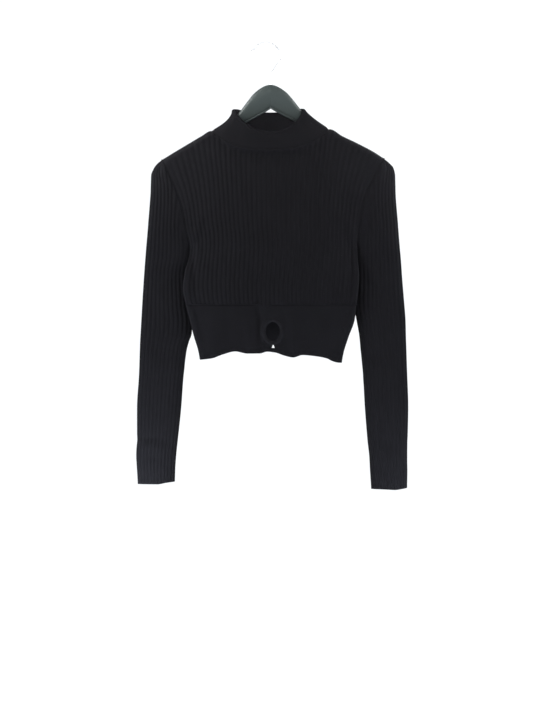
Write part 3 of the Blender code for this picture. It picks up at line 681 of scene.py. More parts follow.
@dataclass
class BodyCloth:
    """Front and back panels: ribbed shells from the band seam to the shoulders."""

    form: BodyForm
    steps_per_rib: int = 8
    rows_below: int = 38
    rows_above: int = 84
    armpit_turn: float = 0.15
    armpit_lean: float = 0.3
    seam_inset: float = 0.8
    shoulder_inset: float = 0.7
    seam_groove: float = 0.7
    seam_groove_width: float = 2.6
    slackness: float = 0.35
    fading_ribs: float = 1.5
    calm_ribs: float = 0.6
    calm_share: float = 0.05
    front_creases: tuple[Crease, ...] = (
        Crease(Spot(-143, -368), Spot(-146, -425), Spot(-133, -505), 6.5, 2.2),
        Crease(Spot(-132, -352), Spot(-133, -415), Spot(-124, -462), 6.0, -2.2),
        Crease(Spot(-124, -350), Spot(-120, -372), Spot(-122, -392), 5.0, 1.4),
        Crease(Spot(-118, -318), Spot(-124, -342), Spot(-136, -362), 7.0, 1.3),
        Crease(Spot(-108, -312), Spot(-112, -340), Spot(-128, -366), 6.0, -1.2),
        Crease(Spot(163, -352), Spot(165, -420), Spot(156, -500), 6.0, 2.2),
        Crease(Spot(153, -350), Spot(155, -410), Spot(148, -464), 6.0, -2.2),
        Crease(Spot(150, -312), Spot(153, -338), Spot(160, -362), 6.0, 1.3),
        Crease(Spot(142, -316), Spot(144, -350), Spot(152, -384), 6.0, -1.0),
        Crease(Spot(-10, -452), Spot(-14, -462), Spot(-20, -474), 6.0, -1.6),
        Crease(Spot(18, -440), Spot(20, -456), Spot(30, -470), 9.0, 1.0),
        Crease(Spot(-60, -405), Spot(-66, -430), Spot(-64, -468), 14.0, 0.9),
        Crease(Spot(70, -410), Spot(78, -440), Spot(76, -468), 14.0, 0.9),
        Crease(Spot(-96, -182), Spot(-80, -205), Spot(-60, -216), 9.0, 0.8),
        Crease(Spot(112, -180), Spot(98, -204), Spot(76, -214), 9.0, 0.8),
        Crease(Spot(-150, -222), Spot(-120, -250), Spot(-100, -300), 12.0, -0.8),
        Crease(Spot(174, -222), Spot(144, -250), Spot(122, -300), 12.0, -0.8),
    )
    back_creases: tuple[Crease, ...] = (
        Crease(Spot(-140, -372), Spot(-142, -425), Spot(-132, -500), 6.5, 1.8),
        Crease(Spot(-128, -360), Spot(-128, -415), Spot(-120, -462), 6.5, -1.8),
        Crease(Spot(160, -360), Spot(161, -420), Spot(152, -498), 6.5, 1.8),
        Crease(Spot(150, -356), Spot(150, -410), Spot(143, -462), 6.5, -1.8),
        Crease(Spot(-112, -316), Spot(-118, -342), Spot(-132, -362), 7.0, 1.2),
        Crease(Spot(140, -314), Spot(146, -340), Spot(158, -362), 7.0, 1.2),
        Crease(Spot(-40, -400), Spot(-34, -434), Spot(-38, -468), 16.0, 1.0),
        Crease(Spot(52, -396), Spot(58, -430), Spot(54, -468), 15.0, -1.0),
        Crease(Spot(10, -205), Spot(6, -250), Spot(12, -300), 18.0, -0.8),
    )

    def columns(self) -> int:
        """Number of points in a row."""
        return self.form.ribs * self.steps_per_rib + 1

    def ups(self) -> Array:
        """Places of the rows, the armpit's among them."""
        armpit = self.form.armpit_place()
        below = np.linspace(0, armpit, self.rows_below, endpoint=False)
        above = np.linspace(armpit, 1, self.rows_above + 1)
        return np.concatenate([below, above])

    def surface(self, face: Face) -> tuple[Array, Array]:
        """Outer face without ribs and creases, and its normals."""
        count = self.columns()
        points = np.array(
            [
                self.form.point(self.form.rib_places(up, count), np.full(count, up), face)
                for up in self.ups()
            ]
        )
        normals = grid_normals(points, -face.value, ring=False)
        rise = (self.ups() - self.form.armpit_place()) / self.armpit_turn
        for column, fold in ((0, (-1.0, 0.0, 0.0)), (-1, (1.0, 0.0, 0.0))):
            below = rise < -1e-9
            normals[below, column] = fold
            part = np.clip(1 - rise, 0, 1)[:, None] * ~below[:, None]
            downward = np.array([self.armpit_lean * fold[0], 0.0, -1.0])
            normals[:, column] = (1 - part) * normals[:, column] + part * downward
        shoulder = np.abs(self.form.neck_place(points[-1, :, 0])) >= 1
        normals[-1, shoulder, 1] = 0
        return points, unit(normals)

    def seams(self, corners: tuple[int, int]) -> list[LinkedSeam]:
        """The loops along both sides, both shoulders and the band seam.

        Args:
            corners: The ribs at which the shoulders end and the neck starts.

        Returns:
            The seams.
        """
        front, back = (self.surface(face)[0] for face in Face)
        middle = (front + back) / 2
        left, right = (corner * self.steps_per_rib // 2 for corner in corners)
        inwards = np.array([self.seam_inset, 0.0, 0.0])
        down = np.array([0.0, 0.0, self.shoulder_inset])
        lower = slice(0, self.rows_below + 1)
        seams = [
            LinkedSeam(middle[lower, 0] + inwards, False),
            LinkedSeam(middle[lower, -1] - inwards, False),
            LinkedSeam(middle[-1, : left + 1] - down, False),
            LinkedSeam(middle[-1, right:] - down, False),
        ]
        waist = np.concatenate([front[0], back[0][::-1]])
        around = unit(waist * (0, 1, 0)) * self.seam_inset
        return seams + [LinkedSeam(waist - around - (0, 0, self.form.seam_gap / 2), True)]

    def relief(self, points: Array) -> Array:
        """Height of the ribs over the plain face, with the grooves of the seams round it."""
        count = self.columns()
        rib = np.arange(count) / self.steps_per_rib
        fade = np.clip(from_sides(rib) / self.fading_ribs, 0, 1)
        relief = np.tile(self.form.rib_height * ribbing(rib) * fade, (len(points), 1))
        return relief + self.grooves(points, rib)

    def grooves(self, points: Array, rib: Array) -> Array:
        """The dip of the cloth towards its seams, which also takes the ribs down to them."""
        run = run_down(points)
        apart = np.minimum(run, run[-1] - run)[:, None]
        aside = from_sides(rib)[None, :] * self.form.pitch_at_seam
        return swell(np.minimum(apart, aside), -self.seam_groove, self.seam_groove_width)

    def build(self, face: Face, material: bpy.types.Material) -> bpy.types.Object:
        """Make one panel as a piece that stands for its solid."""
        points, normals = self.surface(face)
        creases = self.front_creases if face is Face.FRONT else self.back_creases
        count = self.columns()
        rib = np.arange(count) / self.steps_per_rib
        rim = np.clip(from_sides(rib) / self.calm_ribs, 0, 1)
        top = np.clip((1 - self.ups()) / self.calm_share, 0, 1)[:, None]
        lift = (fold_lift(creases, points) + slack(points, self.slackness)) * rim * top
        plain = points + lift[..., None] * normals
        name = f"{face.name.lower()}_rib_cloth"
        shell = Shell(name, plain, normals, self.relief(points), rib, False, self.form.wall)
        return shell.build(material)


# --- Sleeves ---------------------------------------------------------------------------


@dataclass(frozen=True)
class SleeveForm:
    """How one sleeve hangs from its armhole: edges by height, and the cuff's line."""

    side: Side
    cuff: tuple[Spot, ...]
    edges: tuple[Edge, ...]
    free: float = -400.0
    power: float = 2.2
    nominal_width: float = 80.0
    nominal_depth: float = 13.0
    seam_start: float = 0.28
    seam_share: float = 0.62
    seam_spread: float = 1.6
    head_fade: tuple[float, float] = (8.0, 10.0)
    shifts: tuple[Shift, ...] = (
        Shift(-800.0, 9.0, 11.0),
        Shift(-640.0, 11.0, 12.0),
        Shift(-470.0, 12.5, 13.0),
        Shift(-425.0, 12.0, 13.0),
        Shift(-400.0, 9.8, 13.0),
        Shift(-375.0, 6.0, 13.0),
        Shift(-350.0, 2.4, 13.0),
        Shift(-320.0, 0.4, 13.0),
        Shift(-200.0, 0.0, 12.5),
    )

    def places(self, columns: int) -> Array:
        """Places over the front from the outer fold, 0, to the inner one, 1, even along the cloth."""
        across = np.sin(np.linspace(-math.pi / 2, math.pi / 2, 401))
        deep = np.diff(oval(across, self.power)) * self.nominal_depth
        run = run_along(np.hypot(np.diff(across) * self.nominal_width / 2, deep))
        return (np.interp(np.linspace(0, run[-1], columns // 2 + 1), run, across) + 1) / 2

    def ring(self, place: Array, front: Array, z: Array) -> Array:
        """Ring of the free-hanging tube at the heights z."""
        outer, inner = sides(self.edges, z)
        depth = read(self.shifts, "depth", z) * oval(2 * place - 1, self.power)
        back = read(self.shifts, "back", z) + np.where(front, -1, 1) * depth
        return np.stack([outer + (inner - outer) * place, back, z], axis=-1)


LEFT_SLEEVE = SleeveForm(
    Side.LEFT,
    (Spot(-231, -791.9), Spot(-195, -792.2), Spot(-180, -789.6), Spot(-165, -787.6)),
    (
        Edge(-798.7, -230.5, -165.0),
        Edge(-770.8, -231.9, -164.3),
        Edge(-742.0, -233.6, -162.4),
        Edge(-713.2, -232.2, -159.5),
        Edge(-655.6, -232.1, -154.1),
        Edge(-598.0, -229.2, -149.6),
        Edge(-554.8, -227.5, -144.4),
        Edge(-535.0, -226.6, -139.4),
        Edge(-522.0, -225.8, -134.6),
        Edge(-500.0, -224.5, -133.4),
        Edge(-470.0, -222.8, -137.6),
        Edge(-415.0, -219.0, -141.0),
        Edge(-391.0, -217.3, -136.0),
        Edge(-380.0, -216.5, -133.5),
        Edge(-369.0, -215.7, -133.5),
        Edge(-324.4, -211.8, -137.0),
        Edge(-266.8, -207.4, -136.8),
        Edge(-238.0, -206.8, -136.8),
        Edge(-223.6, -201.4, -136.8),
        Edge(-216.0, -195.6, -136.8),
        Edge(-209.2, -187.6, -136.8),
    ),
)
RIGHT_SLEEVE = SleeveForm(
    Side.RIGHT,
    (
        Spot(189, -800.6), Spot(220, -801.8), Spot(232, -802.4), Spot(245, -800.8),
        Spot(254.5, -799.0),
    ),
    (
        Edge(-798.7, 254.5, 190.4),
        Edge(-770.8, 254.8, 188.7),
        Edge(-742.0, 254.1, 187.2),
        Edge(-713.2, 254.9, 183.8),
        Edge(-655.6, 256.0, 178.8),
        Edge(-598.0, 254.4, 175.9),
        Edge(-554.8, 253.0, 171.5),
        Edge(-526.0, 251.8, 169.0),
        Edge(-497.2, 251.0, 164.0),
        Edge(-470.0, 249.2, 159.6),
        Edge(-415.0, 244.9, 161.0),
        Edge(-391.0, 243.1, 160.5),
        Edge(-380.0, 242.1, 160.5),
        Edge(-369.0, 241.0, 161.0),
        Edge(-324.4, 237.2, 165.6),
        Edge(-266.8, 232.5, 165.4),
        Edge(-238.0, 232.2, 165.4),
        Edge(-223.6, 229.2, 165.4),
        Edge(-216.0, 223.0, 165.4),
        Edge(-206.8, 212.4, 165.4),
    ),
)

LEFT_SLEEVE_CREASES = (
    Crease(Spot(-232, -712), Spot(-205, -705), Spot(-178, -716), 6.0, -1.4),
    Crease(Spot(-230, -728), Spot(-206, -722), Spot(-182, -732), 8.0, 1.0),
    Crease(Spot(-228, -752), Spot(-212, -742), Spot(-190, -748), 6.0, -0.9),
    Crease(Spot(-150, -545), Spot(-178, -552), Spot(-205, -545), 9.0, -1.1),
    Crease(Spot(-148, -585), Spot(-172, -580), Spot(-196, -590), 9.0, 0.9),
    Crease(Spot(-146, -400), Spot(-166, -430), Spot(-196, -452), 11.0, -1.4),
    Crease(Spot(-142, -432), Spot(-160, -462), Spot(-188, -486), 11.0, 1.2),
    Crease(Spot(-150, -330), Spot(-164, -352), Spot(-184, -362), 9.0, -1.1),
    Crease(Spot(-204, -260), Spot(-202, -330), Spot(-208, -420), 9.0, 0.9),
    Crease(Spot(-222, -620), Spot(-219, -660), Spot(-224, -700), 8.0, 0.8),
)
RIGHT_SLEEVE_CREASES = (
    Crease(Spot(252, -716), Spot(226, -722), Spot(200, -712), 7.0, -1.1),
    Crease(Spot(251, -742), Spot(230, -738), Spot(206, -746), 8.0, 0.9),
    Crease(Spot(176, -560), Spot(202, -568), Spot(232, -556), 9.0, -1.0),
    Crease(Spot(178, -604), Spot(200, -598), Spot(226, -606), 9.0, 0.9),
    Crease(Spot(168, -404), Spot(188, -434), Spot(216, -456), 11.0, -1.4),
    Crease(Spot(166, -440), Spot(184, -468), Spot(212, -490), 11.0, 1.2),
    Crease(Spot(178, -328), Spot(190, -350), Spot(208, -362), 9.0, -1.1),
    Crease(Spot(229, -260), Spot(228, -330), Spot(234, -420), 9.0, 0.9),
    Crease(Spot(246, -640), Spot(242, -676), Spot(247, -708), 8.0, 0.8),
)


@dataclass
class SleeveCloth:
    """One sleeve: a ribbed tube from its armhole to its open cuff."""

    body: BodyCloth
    form: SleeveForm
    creases: tuple[Crease, ...]
    ribs: int = 25
    steps_per_rib: int = 8
    rib_height: float = 0.9
    wall: float = 1.7
    head_rows: int = 72
    lower_rows: int = 130
    head_spacing: float = 1.25
    calm_rows: float = 14.0
    clear_gain: float = 4.0
    clear_start: float = 0.3
    least_spread: float = 0.5
    seam_inset: float = 0.7
    seam_radius: float = 1.05
    slackness: float = 0.5
    seam_groove: float = 0.9
    seam_groove_width: float = 3.0

    def columns(self) -> int:
        """Number of points in a ring."""
        return self.ribs * self.steps_per_rib

    def armhole(self) -> Array:
        """Front rim, top to bottom, then the back rim up again, as one ring of points."""
        column = 0 if self.form.side is Side.LEFT else -1
        start = self.body.rows_below
        rims = [self.body.surface(face)[0][start:, column][::-1] for face in Face]
        top, foot = (rims[0][0] + rims[1][0]) / 2, (rims[0][-1] + rims[1][-1]) / 2
        outwards = np.array([self.form.side.value * self.body.form.seam_gap, 0.0, 0.0])
        return outwards + np.concatenate([[top], rims[0][1:-1], [foot], rims[1][-2:0:-1]])

    def seam(self) -> LinkedSeam:
        """The loops that link the sleeve to its armhole."""
        ring = self.armhole()
        inwards = unit(ring * (0, 1, 0)) * self.seam_inset
        towards_body = (self.body.form.seam_gap / 2 * self.form.side.value, 0, 0)
        return LinkedSeam(ring - inwards - towards_body, True, self.seam_radius)

    def rows(self) -> tuple[Array, Array]:
        """Rings down the sleeve from the armhole, and each column's place round it."""
        ring = self.armhole()
        half = len(ring) // 2
        columns = self.columns()
        places = self.form.places(columns)
        place = np.concatenate([places, places[-2:0:-1]])
        front = np.arange(columns) <= columns // 2
        form = self.form
        share = np.clip((place - form.seam_start) / form.seam_share, 0, 1) ** form.seam_spread
        head = np.zeros((columns, 3))
        for is_front in (True, False):
            rim = ring[: half + 1] if is_front else np.concatenate([ring[:1], ring[: half - 1 : -1]])
            run = run_along(np.linalg.norm(np.diff(rim, axis=0), axis=1))
            chosen = front == is_front
            for axis in range(3):
                head[chosen, axis] = np.interp(share * run[-1], run, rim[:, axis])[chosen]
        pull = head - form.ring(place, front, head[:, 2])
        rows = []
        for down in np.linspace(0, 1, self.head_rows) ** self.head_spacing:
            z = head[:, 2] + (form.free - head[:, 2]) * down
            fade = [(1 - down) ** form.head_fade[0], (1 - down) ** form.head_fade[1], 0.0]
            rows.append(form.ring(place, front, z) + pull * np.array(fade))
        cuff = follow(form.cuff, form.ring(place, front, np.full(columns, form.cuff[0].z))[:, 0])
        for down in np.linspace(0, 1, self.lower_rows)[1:]:
            rows.append(form.ring(place, front, form.free + (cuff - form.free) * down))
        return np.array(rows), np.where(front, place, 2 - place)

    def relief(self, rows: Array, around: Array) -> Array:
        """Height of the ribs, small at the armhole and none where the sleeve meets the body."""
        rib = np.arange(self.columns()) / self.steps_per_rib
        gaps = np.linalg.norm(np.roll(rows, -1, axis=1) - rows, axis=2)
        usual = np.median(gaps[self.head_rows :])
        spread = np.clip((gaps + np.roll(gaps, 1, axis=1)) / 2 / usual, 0, 1)
        relief = self.rib_height * ribbing(rib) * spread
        relief[: self.head_rows] *= self.clear_of_body(around)
        groove = swell(run_down(rows)[:, None], -self.seam_groove, self.seam_groove_width)
        return relief + groove * (spread > self.least_spread)

    def clear_of_body(self, around: Array) -> Array:
        """A share that is 0 along the inner fold, where the sleeve's head meets the body."""
        return np.clip(self.clear_gain * np.abs(around - 1.0) - self.clear_start, 0, 1)

    def build(self, material: bpy.types.Material) -> bpy.types.Object:
        """Make the sleeve as one closed shell."""
        rows, around = self.rows()
        normals = grid_normals(rows, self.form.side.value, ring=True)
        calm = np.clip(np.arange(len(rows)) / self.calm_rows, 0, 1)[:, None]
        lift = (fold_lift(self.creases, rows) + slack(rows, self.slackness)) * calm
        lift[: self.head_rows] *= self.clear_of_body(around)
        plain = rows + lift[..., None] * normals
        name = f"sleeve_{self.form.side.name.lower()}_cloth"
        rib = np.arange(self.columns()) / self.steps_per_rib
        shell = Shell(
            name, plain, normals, self.relief(rows, around), rib, True, self.wall,
            rolled_end=True,
        )
        return shell.build(material)


# --- Collar and waistband ---------------------------------------------------------------


@dataclass
class CollarCloth:
    """The funnel collar: a smooth ring of cloth from the neck seam to its free edge."""

    body: BodyCloth
    wall: float = 2.0
    depth_front: float = 19.0
    depth_back: float = 16.0
    power: float = 3.5
    flare_left: float = 1.85
    flare_right: float = 1.2
    foot_fill: float = 2.2
    fill_height: float = 0.12
    fill_power: int = 8
    seam_inset: float = 0.8
    seam_rise: float = 0.6
    seam_slant: float = 0.2
    evenness: float = 0.7
    rows: int = 45
    slackness: float = 0.25
    seam_groove: float = 0.9
    seam_groove_width: float = 3.0
    calm_share: float = 0.15
    lip: float = 0.5
    lip_width: float = 1.6
    lip_from_edge: float = 2.5
    corner_columns: tuple[int, int] = (16, 62)
    spacing_columns: tuple[int, ...] = (16, 18, 20, 24, 28, 32, 36, 40, 44, 48, 52, 56, 59, 62)
    front_edge: tuple[Spot, ...] = (
        Spot(-61.2, -119.8),
        Spot(-58.0, -121.8),
        Spot(-51.3, -129.5),
        Spot(-38.9, -142.0),
        Spot(-24.3, -152.6),
        Spot(-10.0, -158.0),
        Spot(8.3, -160.2),
        Spot(34.2, -155.4),
        Spot(52.2, -142.7),
        Spot(62.0, -130.0),
        Spot(69.2, -117.6),
    )
    back_edge: tuple[Spot, ...] = (
        Spot(-61.2, -119.8),
        Spot(-59.0, -118.2),
        Spot(-54.0, -118.0),
        Spot(-40.0, -120.6),
        Spot(-20.0, -122.9),
        Spot(10.8, -123.7),
        Spot(40.0, -121.8),
        Spot(58.0, -117.8),
        Spot(66.0, -117.0),
        Spot(69.2, -117.6),
    )
    creases: tuple[Crease, ...] = (
        Crease(Spot(50, -128), Spot(49, -142), Spot(46, -160), 3.4, -0.9),
        Crease(Spot(57, -124), Spot(57, -142), Spot(56, -164), 3.4, 0.8),
        Crease(Spot(64, -126), Spot(66, -142), Spot(70, -158), 3.6, -0.7),
        Crease(Spot(-48, -124), Spot(-60, -146), Spot(-82, -164), 6.0, 0.8),
        Crease(Spot(-36, -140), Spot(-44, -160), Spot(-58, -178), 7.0, -0.7),
        Crease(Spot(-12, -160), Spot(-14, -172), Spot(-12, -184), 9.0, 0.5),
        Crease(Spot(30, -160), Spot(33, -172), Spot(32, -184), 9.0, -0.4),
    )

    def base(self) -> Array:
        """The neck seam as a ring: the front rim left to right, then the back rim right to left."""
        steps = self.body.steps_per_rib // 2
        first, last = (corner * steps for corner in self.corner_columns)
        rims = []
        for face in Face:
            rim = self.body.surface(face)[0][-1, first : last + 1]
            across = self.body.form.neck_place(rim[:, 0])
            upwards = unit(np.stack([-across, 0 * across, self.seam_rise + 0 * across], axis=-1))
            rims.append(rim + self.body.form.seam_gap * upwards)
        left = (rims[0][0] + rims[1][0]) / 2
        right = (rims[0][-1] + rims[1][-1]) / 2
        return np.concatenate([[left], rims[0][1:-1], [right], rims[1][-2:0:-1]])

    def seam(self) -> LinkedSeam:
        """The loops that link the collar to the neck edge."""
        base = self.base()
        inwards = unit((base - base.mean(axis=0)) * (self.seam_slant, 1, 0)) * self.seam_inset
        return LinkedSeam(base - inwards - (0, 0, self.body.form.seam_gap / 2), True)

    def surface(self) -> Array:
        """Rings of points from the neck seam to the free edge."""
        base = self.base()
        half = len(base) // 2
        column = np.arange(half + 1) / (self.body.steps_per_rib / 2) + self.corner_columns[0]
        across = np.linspace(0, 1, len(self.spacing_columns))
        spaced = np.interp(column, self.spacing_columns, across)
        place = np.concatenate([spaced, spaced[-2:0:-1]])
        front = np.arange(len(base)) <= half
        left, right = self.front_edge[0].x, self.front_edge[-1].x
        even = (1 - np.cos(math.pi * place)) / 2
        x = left + (right - left) * (place + self.evenness * (even - place))
        z = np.where(front, follow(self.front_edge, x), follow(self.back_edge, x))
        deep = np.where(front, -self.depth_front, self.depth_back)
        y = deep * oval(2 * (x - left) / (right - left) - 1, self.power)
        rim = np.stack([x, y, z], axis=-1)
        flare = self.flare_left + (self.flare_right - self.flare_left) * place
        aside = np.abs(2 * place - 1) ** self.fill_power * np.sign(2 * place - 1)
        rings = []
        for up in np.linspace(0, 1, self.rows):
            steady = np.full(len(base), up)
            sweep = np.stack([1 - (1 - up) ** flare, steady, steady], axis=-1)
            ring = base + (rim - base) * sweep
            fill = self.foot_fill * up / self.fill_height * math.exp(1 - up / self.fill_height)
            ring[:, 0] += fill * aside
            rings.append(ring)
        return np.array(rings)

    def build(self, material: bpy.types.Material) -> bpy.types.Object:
        """Make the collar as one closed shell."""
        points = self.surface()
        normals = grid_normals(points, 1, ring=True)
        up = np.linspace(0, 1, self.rows)[:, None]
        front = (points[..., 1] < 0).astype(float)
        calm = np.clip(up / self.calm_share, 0, 1)
        lift = (fold_lift(self.creases, points) * front + slack(points, self.slackness)) * calm
        plain = points + lift[..., None] * normals
        height = np.median(np.linalg.norm(points[-1] - points[0], axis=1))
        groove = swell(up * height, -self.seam_groove, self.seam_groove_width)
        lip = swell((1 - up) * height - self.lip_from_edge, self.lip, self.lip_width)
        relief = np.broadcast_to(groove + lip, points.shape[:2])
        rib = np.arange(points.shape[1]) / self.body.steps_per_rib
        shell = Shell(
            "collar_cloth", plain, normals, relief, rib, True, self.wall, rolled_end=True,
            column_step=2,
        )
        return shell.build(material)


@dataclass(frozen=True)
class Keyhole:
    """The oval opening in the front band, its rolled rim, and the small gap under it."""

    x: float = 12.2
    z: float = -517.9
    half_width: float = 13.0
    half_height: float = 17.1
    rim_width: float = 7.2
    rim_thickness: float = 3.8
    rim_sink: float = 0.5
    rolled_share: float = 1.7
    broad_waver: float = 0.25
    fine_waver: float = 0.2
    gap_x: float = 12.9
    gap_width: float = 5.2
    gap_top: float = -540.0
    gap_foot: float = -547.4
    cut_front: float = -34.0
    cut_back: float = -6.0

    def cut(self) -> Cut:
        """The strip that the rolled rim is made from, as long as the rim is round."""
        wide, high = (half + self.rim_width / 2 for half in (self.half_width, self.half_height))
        length = math.pi * (3 * (wide + high) - math.sqrt((3 * wide + high) * (wide + 3 * high)))
        width = self.rolled_share * self.rim_width
        return Cut(width * MM, length * MM, width * length * MM**2)


@dataclass
class BandCloth:
    """The plain waistband: front and back shells from the band seam to the hem."""

    body: BodyCloth
    keyhole: Keyhole
    rows: int = 61
    columns: int = 321
    seam_groove: float = 0.8
    seam_groove_width: float = 2.4
    slackness: float = 0.35
    calm_ribs: float = 0.6
    calm_share: float = 0.05
    lip: float = 0.35
    lip_width: float = 2.0
    lip_from_hem: float = 3.0
    seam_inset: float = 0.8
    seam_radius: float = 0.8
    keyhole_calm: float = 0.15
    hem_front: tuple[Spot, ...] = (
        Spot(-118.8, -568.1),
        Spot(-97.2, -565.6),
        Spot(-75.6, -558.2),
        Spot(-54.0, -553.1),
        Spot(-32.4, -556.9),
        Spot(-10.8, -556.7),
        Spot(1.8, -553.5),
        Spot(16.2, -555.1),
        Spot(32.4, -560.5),
        Spot(48.6, -563.8),
        Spot(64.8, -559.6),
        Spot(86.4, -561.4),
        Spot(108.0, -565.4),
        Spot(118.8, -570.2),
        Spot(129.6, -573.1),
        Spot(136.8, -573.5),
    )
    hem_back: tuple[Spot, ...] = (
        Spot(-118.8, -568.1),
        Spot(-60.0, -549.0),
        Spot(12.0, -537.4),
        Spot(80.0, -550.0),
        Spot(136.8, -573.5),
    )
    front_creases: tuple[Crease, ...] = (
        Crease(Spot(-15, -468), Spot(-9.5, -500), Spot(-11.5, -546), 6.0, -3.7),
        Crease(Spot(-34, -474), Spot(-28, -505), Spot(-30, -550), 9.0, 1.5),
        Crease(Spot(44, -482), Spot(45, -512), Spot(49, -562), 10.0, 1.9),
        Crease(Spot(66, -478), Spot(68, -515), Spot(70, -556), 9.0, -1.5),
        Crease(Spot(96, -474), Spot(97, -515), Spot(96, -560), 12.0, 0.9),
        Crease(Spot(-66, -480), Spot(-68, -515), Spot(-66, -552), 11.0, -1.1),
        Crease(Spot(-92, -476), Spot(-93, -515), Spot(-96, -560), 12.0, 1.2),
        Crease(Spot(-138, -468), Spot(-132, -495), Spot(-122, -540), 6.5, 1.7),
        Crease(Spot(-126, -472), Spot(-118, -500), Spot(-110, -552), 7.0, -1.3),
        Crease(Spot(158, -468), Spot(152, -495), Spot(142, -545), 6.0, 1.7),
        Crease(Spot(146, -472), Spot(138, -505), Spot(128, -556), 7.0, -1.3),
        Crease(Spot(30, -476), Spot(36, -492), Spot(37, -520), 5.0, -1.0),
    )
    back_creases: tuple[Crease, ...] = (
        Crease(Spot(-80, -474), Spot(-78, -510), Spot(-76, -548), 12.0, 1.3),
        Crease(Spot(-42, -474), Spot(-38, -505), Spot(-40, -540), 12.0, -1.4),
        Crease(Spot(8, -472), Spot(10, -500), Spot(12, -536), 14.0, 1.2),
        Crease(Spot(60, -474), Spot(58, -505), Spot(60, -544), 12.0, -1.3),
        Crease(Spot(100, -474), Spot(100, -512), Spot(98, -556), 12.0, 1.2),
        Crease(Spot(-128, -470), Spot(-122, -500), Spot(-114, -552), 8.0, 1.2),
        Crease(Spot(150, -470), Spot(143, -500), Spot(132, -556), 8.0, 1.2),
    )

    def surface(self, face: Face) -> tuple[Array, Array]:
        """Outer face from the seam down to the hem, and its normals."""
        form = self.body.form
        across = form.rib_places(0.0, self.columns)
        seam = form.point(across, np.zeros_like(across), face)
        first = form.edges[0]
        hem_x = between(first.left, first.right, across)
        hem = follow(self.hem_front if face is Face.FRONT else self.hem_back, hem_x)
        start = seam[:, 2] - form.seam_gap
        rows = []
        for down in np.linspace(0, 1, self.rows):
            z = start + (hem - start) * down
            x = between(*sides(form.edges, z), across)
            y = face.value * (form.depth(across, z, face) + form.seam_gap / 2)
            y = y + form.sway(across, z)
            rows.append(np.stack([x, y, z], axis=-1))
        points = np.array(rows)
        normals = grid_normals(points, face.value, ring=False)
        normals[:, 0] = (-1, 0, 0)
        normals[:, -1] = (1, 0, 0)
        return points, normals

    def build(self, face: Face, material: bpy.types.Material) -> bpy.types.Object:
        """Make one half of the band; the front has the keyhole and the gap cut through it."""
        points, normals = self.surface(face)
        creases = self.front_creases if face is Face.FRONT else self.back_creases
        column = np.arange(self.columns) / self.body.steps_per_rib
        rim = np.clip(from_sides(column) / self.calm_ribs, 0, 1)
        top = np.clip(np.linspace(0, 1, self.rows) / self.calm_share, 0, 1)[:, None]
        lift = (fold_lift(creases, points) + slack(points, self.slackness)) * rim * top
        if face is Face.FRONT:
            lift *= self.flat_at_keyhole(points)
        plain = points + lift[..., None] * normals
        below_seam = np.abs(self.body.form.band_seam - points[..., 2])
        aside = from_sides(column)[None, :] * self.body.form.pitch_at_seam
        near = np.minimum(below_seam, aside)
        relief = swell(near, -self.seam_groove, self.seam_groove_width)
        from_hem = np.abs(points[..., 2] - points[-1:, :, 2])
        relief += swell(from_hem - self.lip_from_hem, self.lip, self.lip_width)
        name = f"band_{face.name.lower()}_cloth"
        shell = Shell(
            name, plain, normals, relief, column, False, self.body.form.wall, rolled_end=True
        )
        made = shell.build(material)
        if face is Face.FRONT:
            self.cut_openings(made)
        return made

    def seams(self) -> list[LinkedSeam]:
        """The loops down both sides of the band."""
        front, back = (self.surface(face)[0] for face in Face)
        middle = (front + back) / 2
        inwards = np.array([self.seam_inset, 0.0, 0.0])
        return [
            LinkedSeam(middle[:, 0] + inwards, False, self.seam_radius),
            LinkedSeam(middle[:, -1] - inwards, False, self.seam_radius),
        ]

    def flat_at_keyhole(self, points: Array) -> Array:
        """A share of the folds' lift, small round the keyhole so that its rim lies on the cloth."""
        hole = self.keyhole
        reach = np.hypot(
            (points[..., 0] - hole.x) / (hole.half_width + hole.rim_width),
            (points[..., 2] - hole.z) / (hole.half_height + hole.rim_width),
        )
        return np.clip((reach - 1.0) / self.keyhole_calm, 0, 1)

    def cut_openings(self, band: bpy.types.Object) -> None:
        """Cut the keyhole and the small gap under it right through the front band."""
        hole = self.keyhole
        middle = (hole.cut_front + hole.cut_back) / 2
        length = hole.cut_back - hole.cut_front
        bpy.ops.object.select_all(action="DESELECT")
        bpy.ops.mesh.primitive_cylinder_add(
            vertices=64, radius=MM, depth=MM * length,
            location=(MM * hole.x, MM * middle, MM * hole.z), rotation=(math.pi / 2, 0, 0),
            scale=(hole.half_width + hole.rim_width / 2, hole.half_height + hole.rim_width / 2, 1),
        )
        self.cut(band, bpy.context.object)
        height = hole.gap_top - hole.gap_foot
        bpy.ops.mesh.primitive_cylinder_add(
            vertices=3, radius=MM, depth=MM * length,
            location=(MM * hole.gap_x, MM * middle, MM * (hole.gap_foot + height / 3)),
            rotation=(math.pi / 2, 0, 0),
            scale=(hole.gap_width / TRIANGLE_WIDTH, height / TRIANGLE_HEIGHT, 1),
        )
        self.cut(band, bpy.context.object)

    @staticmethod
    def cut(target: bpy.types.Object, tool: bpy.types.Object) -> None:
        """Subtract the tool from the target, apply the cut and remove the tool."""
        bpy.ops.object.select_all(action="DESELECT")
        bpy.context.view_layer.objects.active = target
        target.select_set(True)
        apply_modifier(target, "BOOLEAN", operation="DIFFERENCE", solver="EXACT", object=tool)
        bpy.data.objects.remove(tool, do_unlink=True)

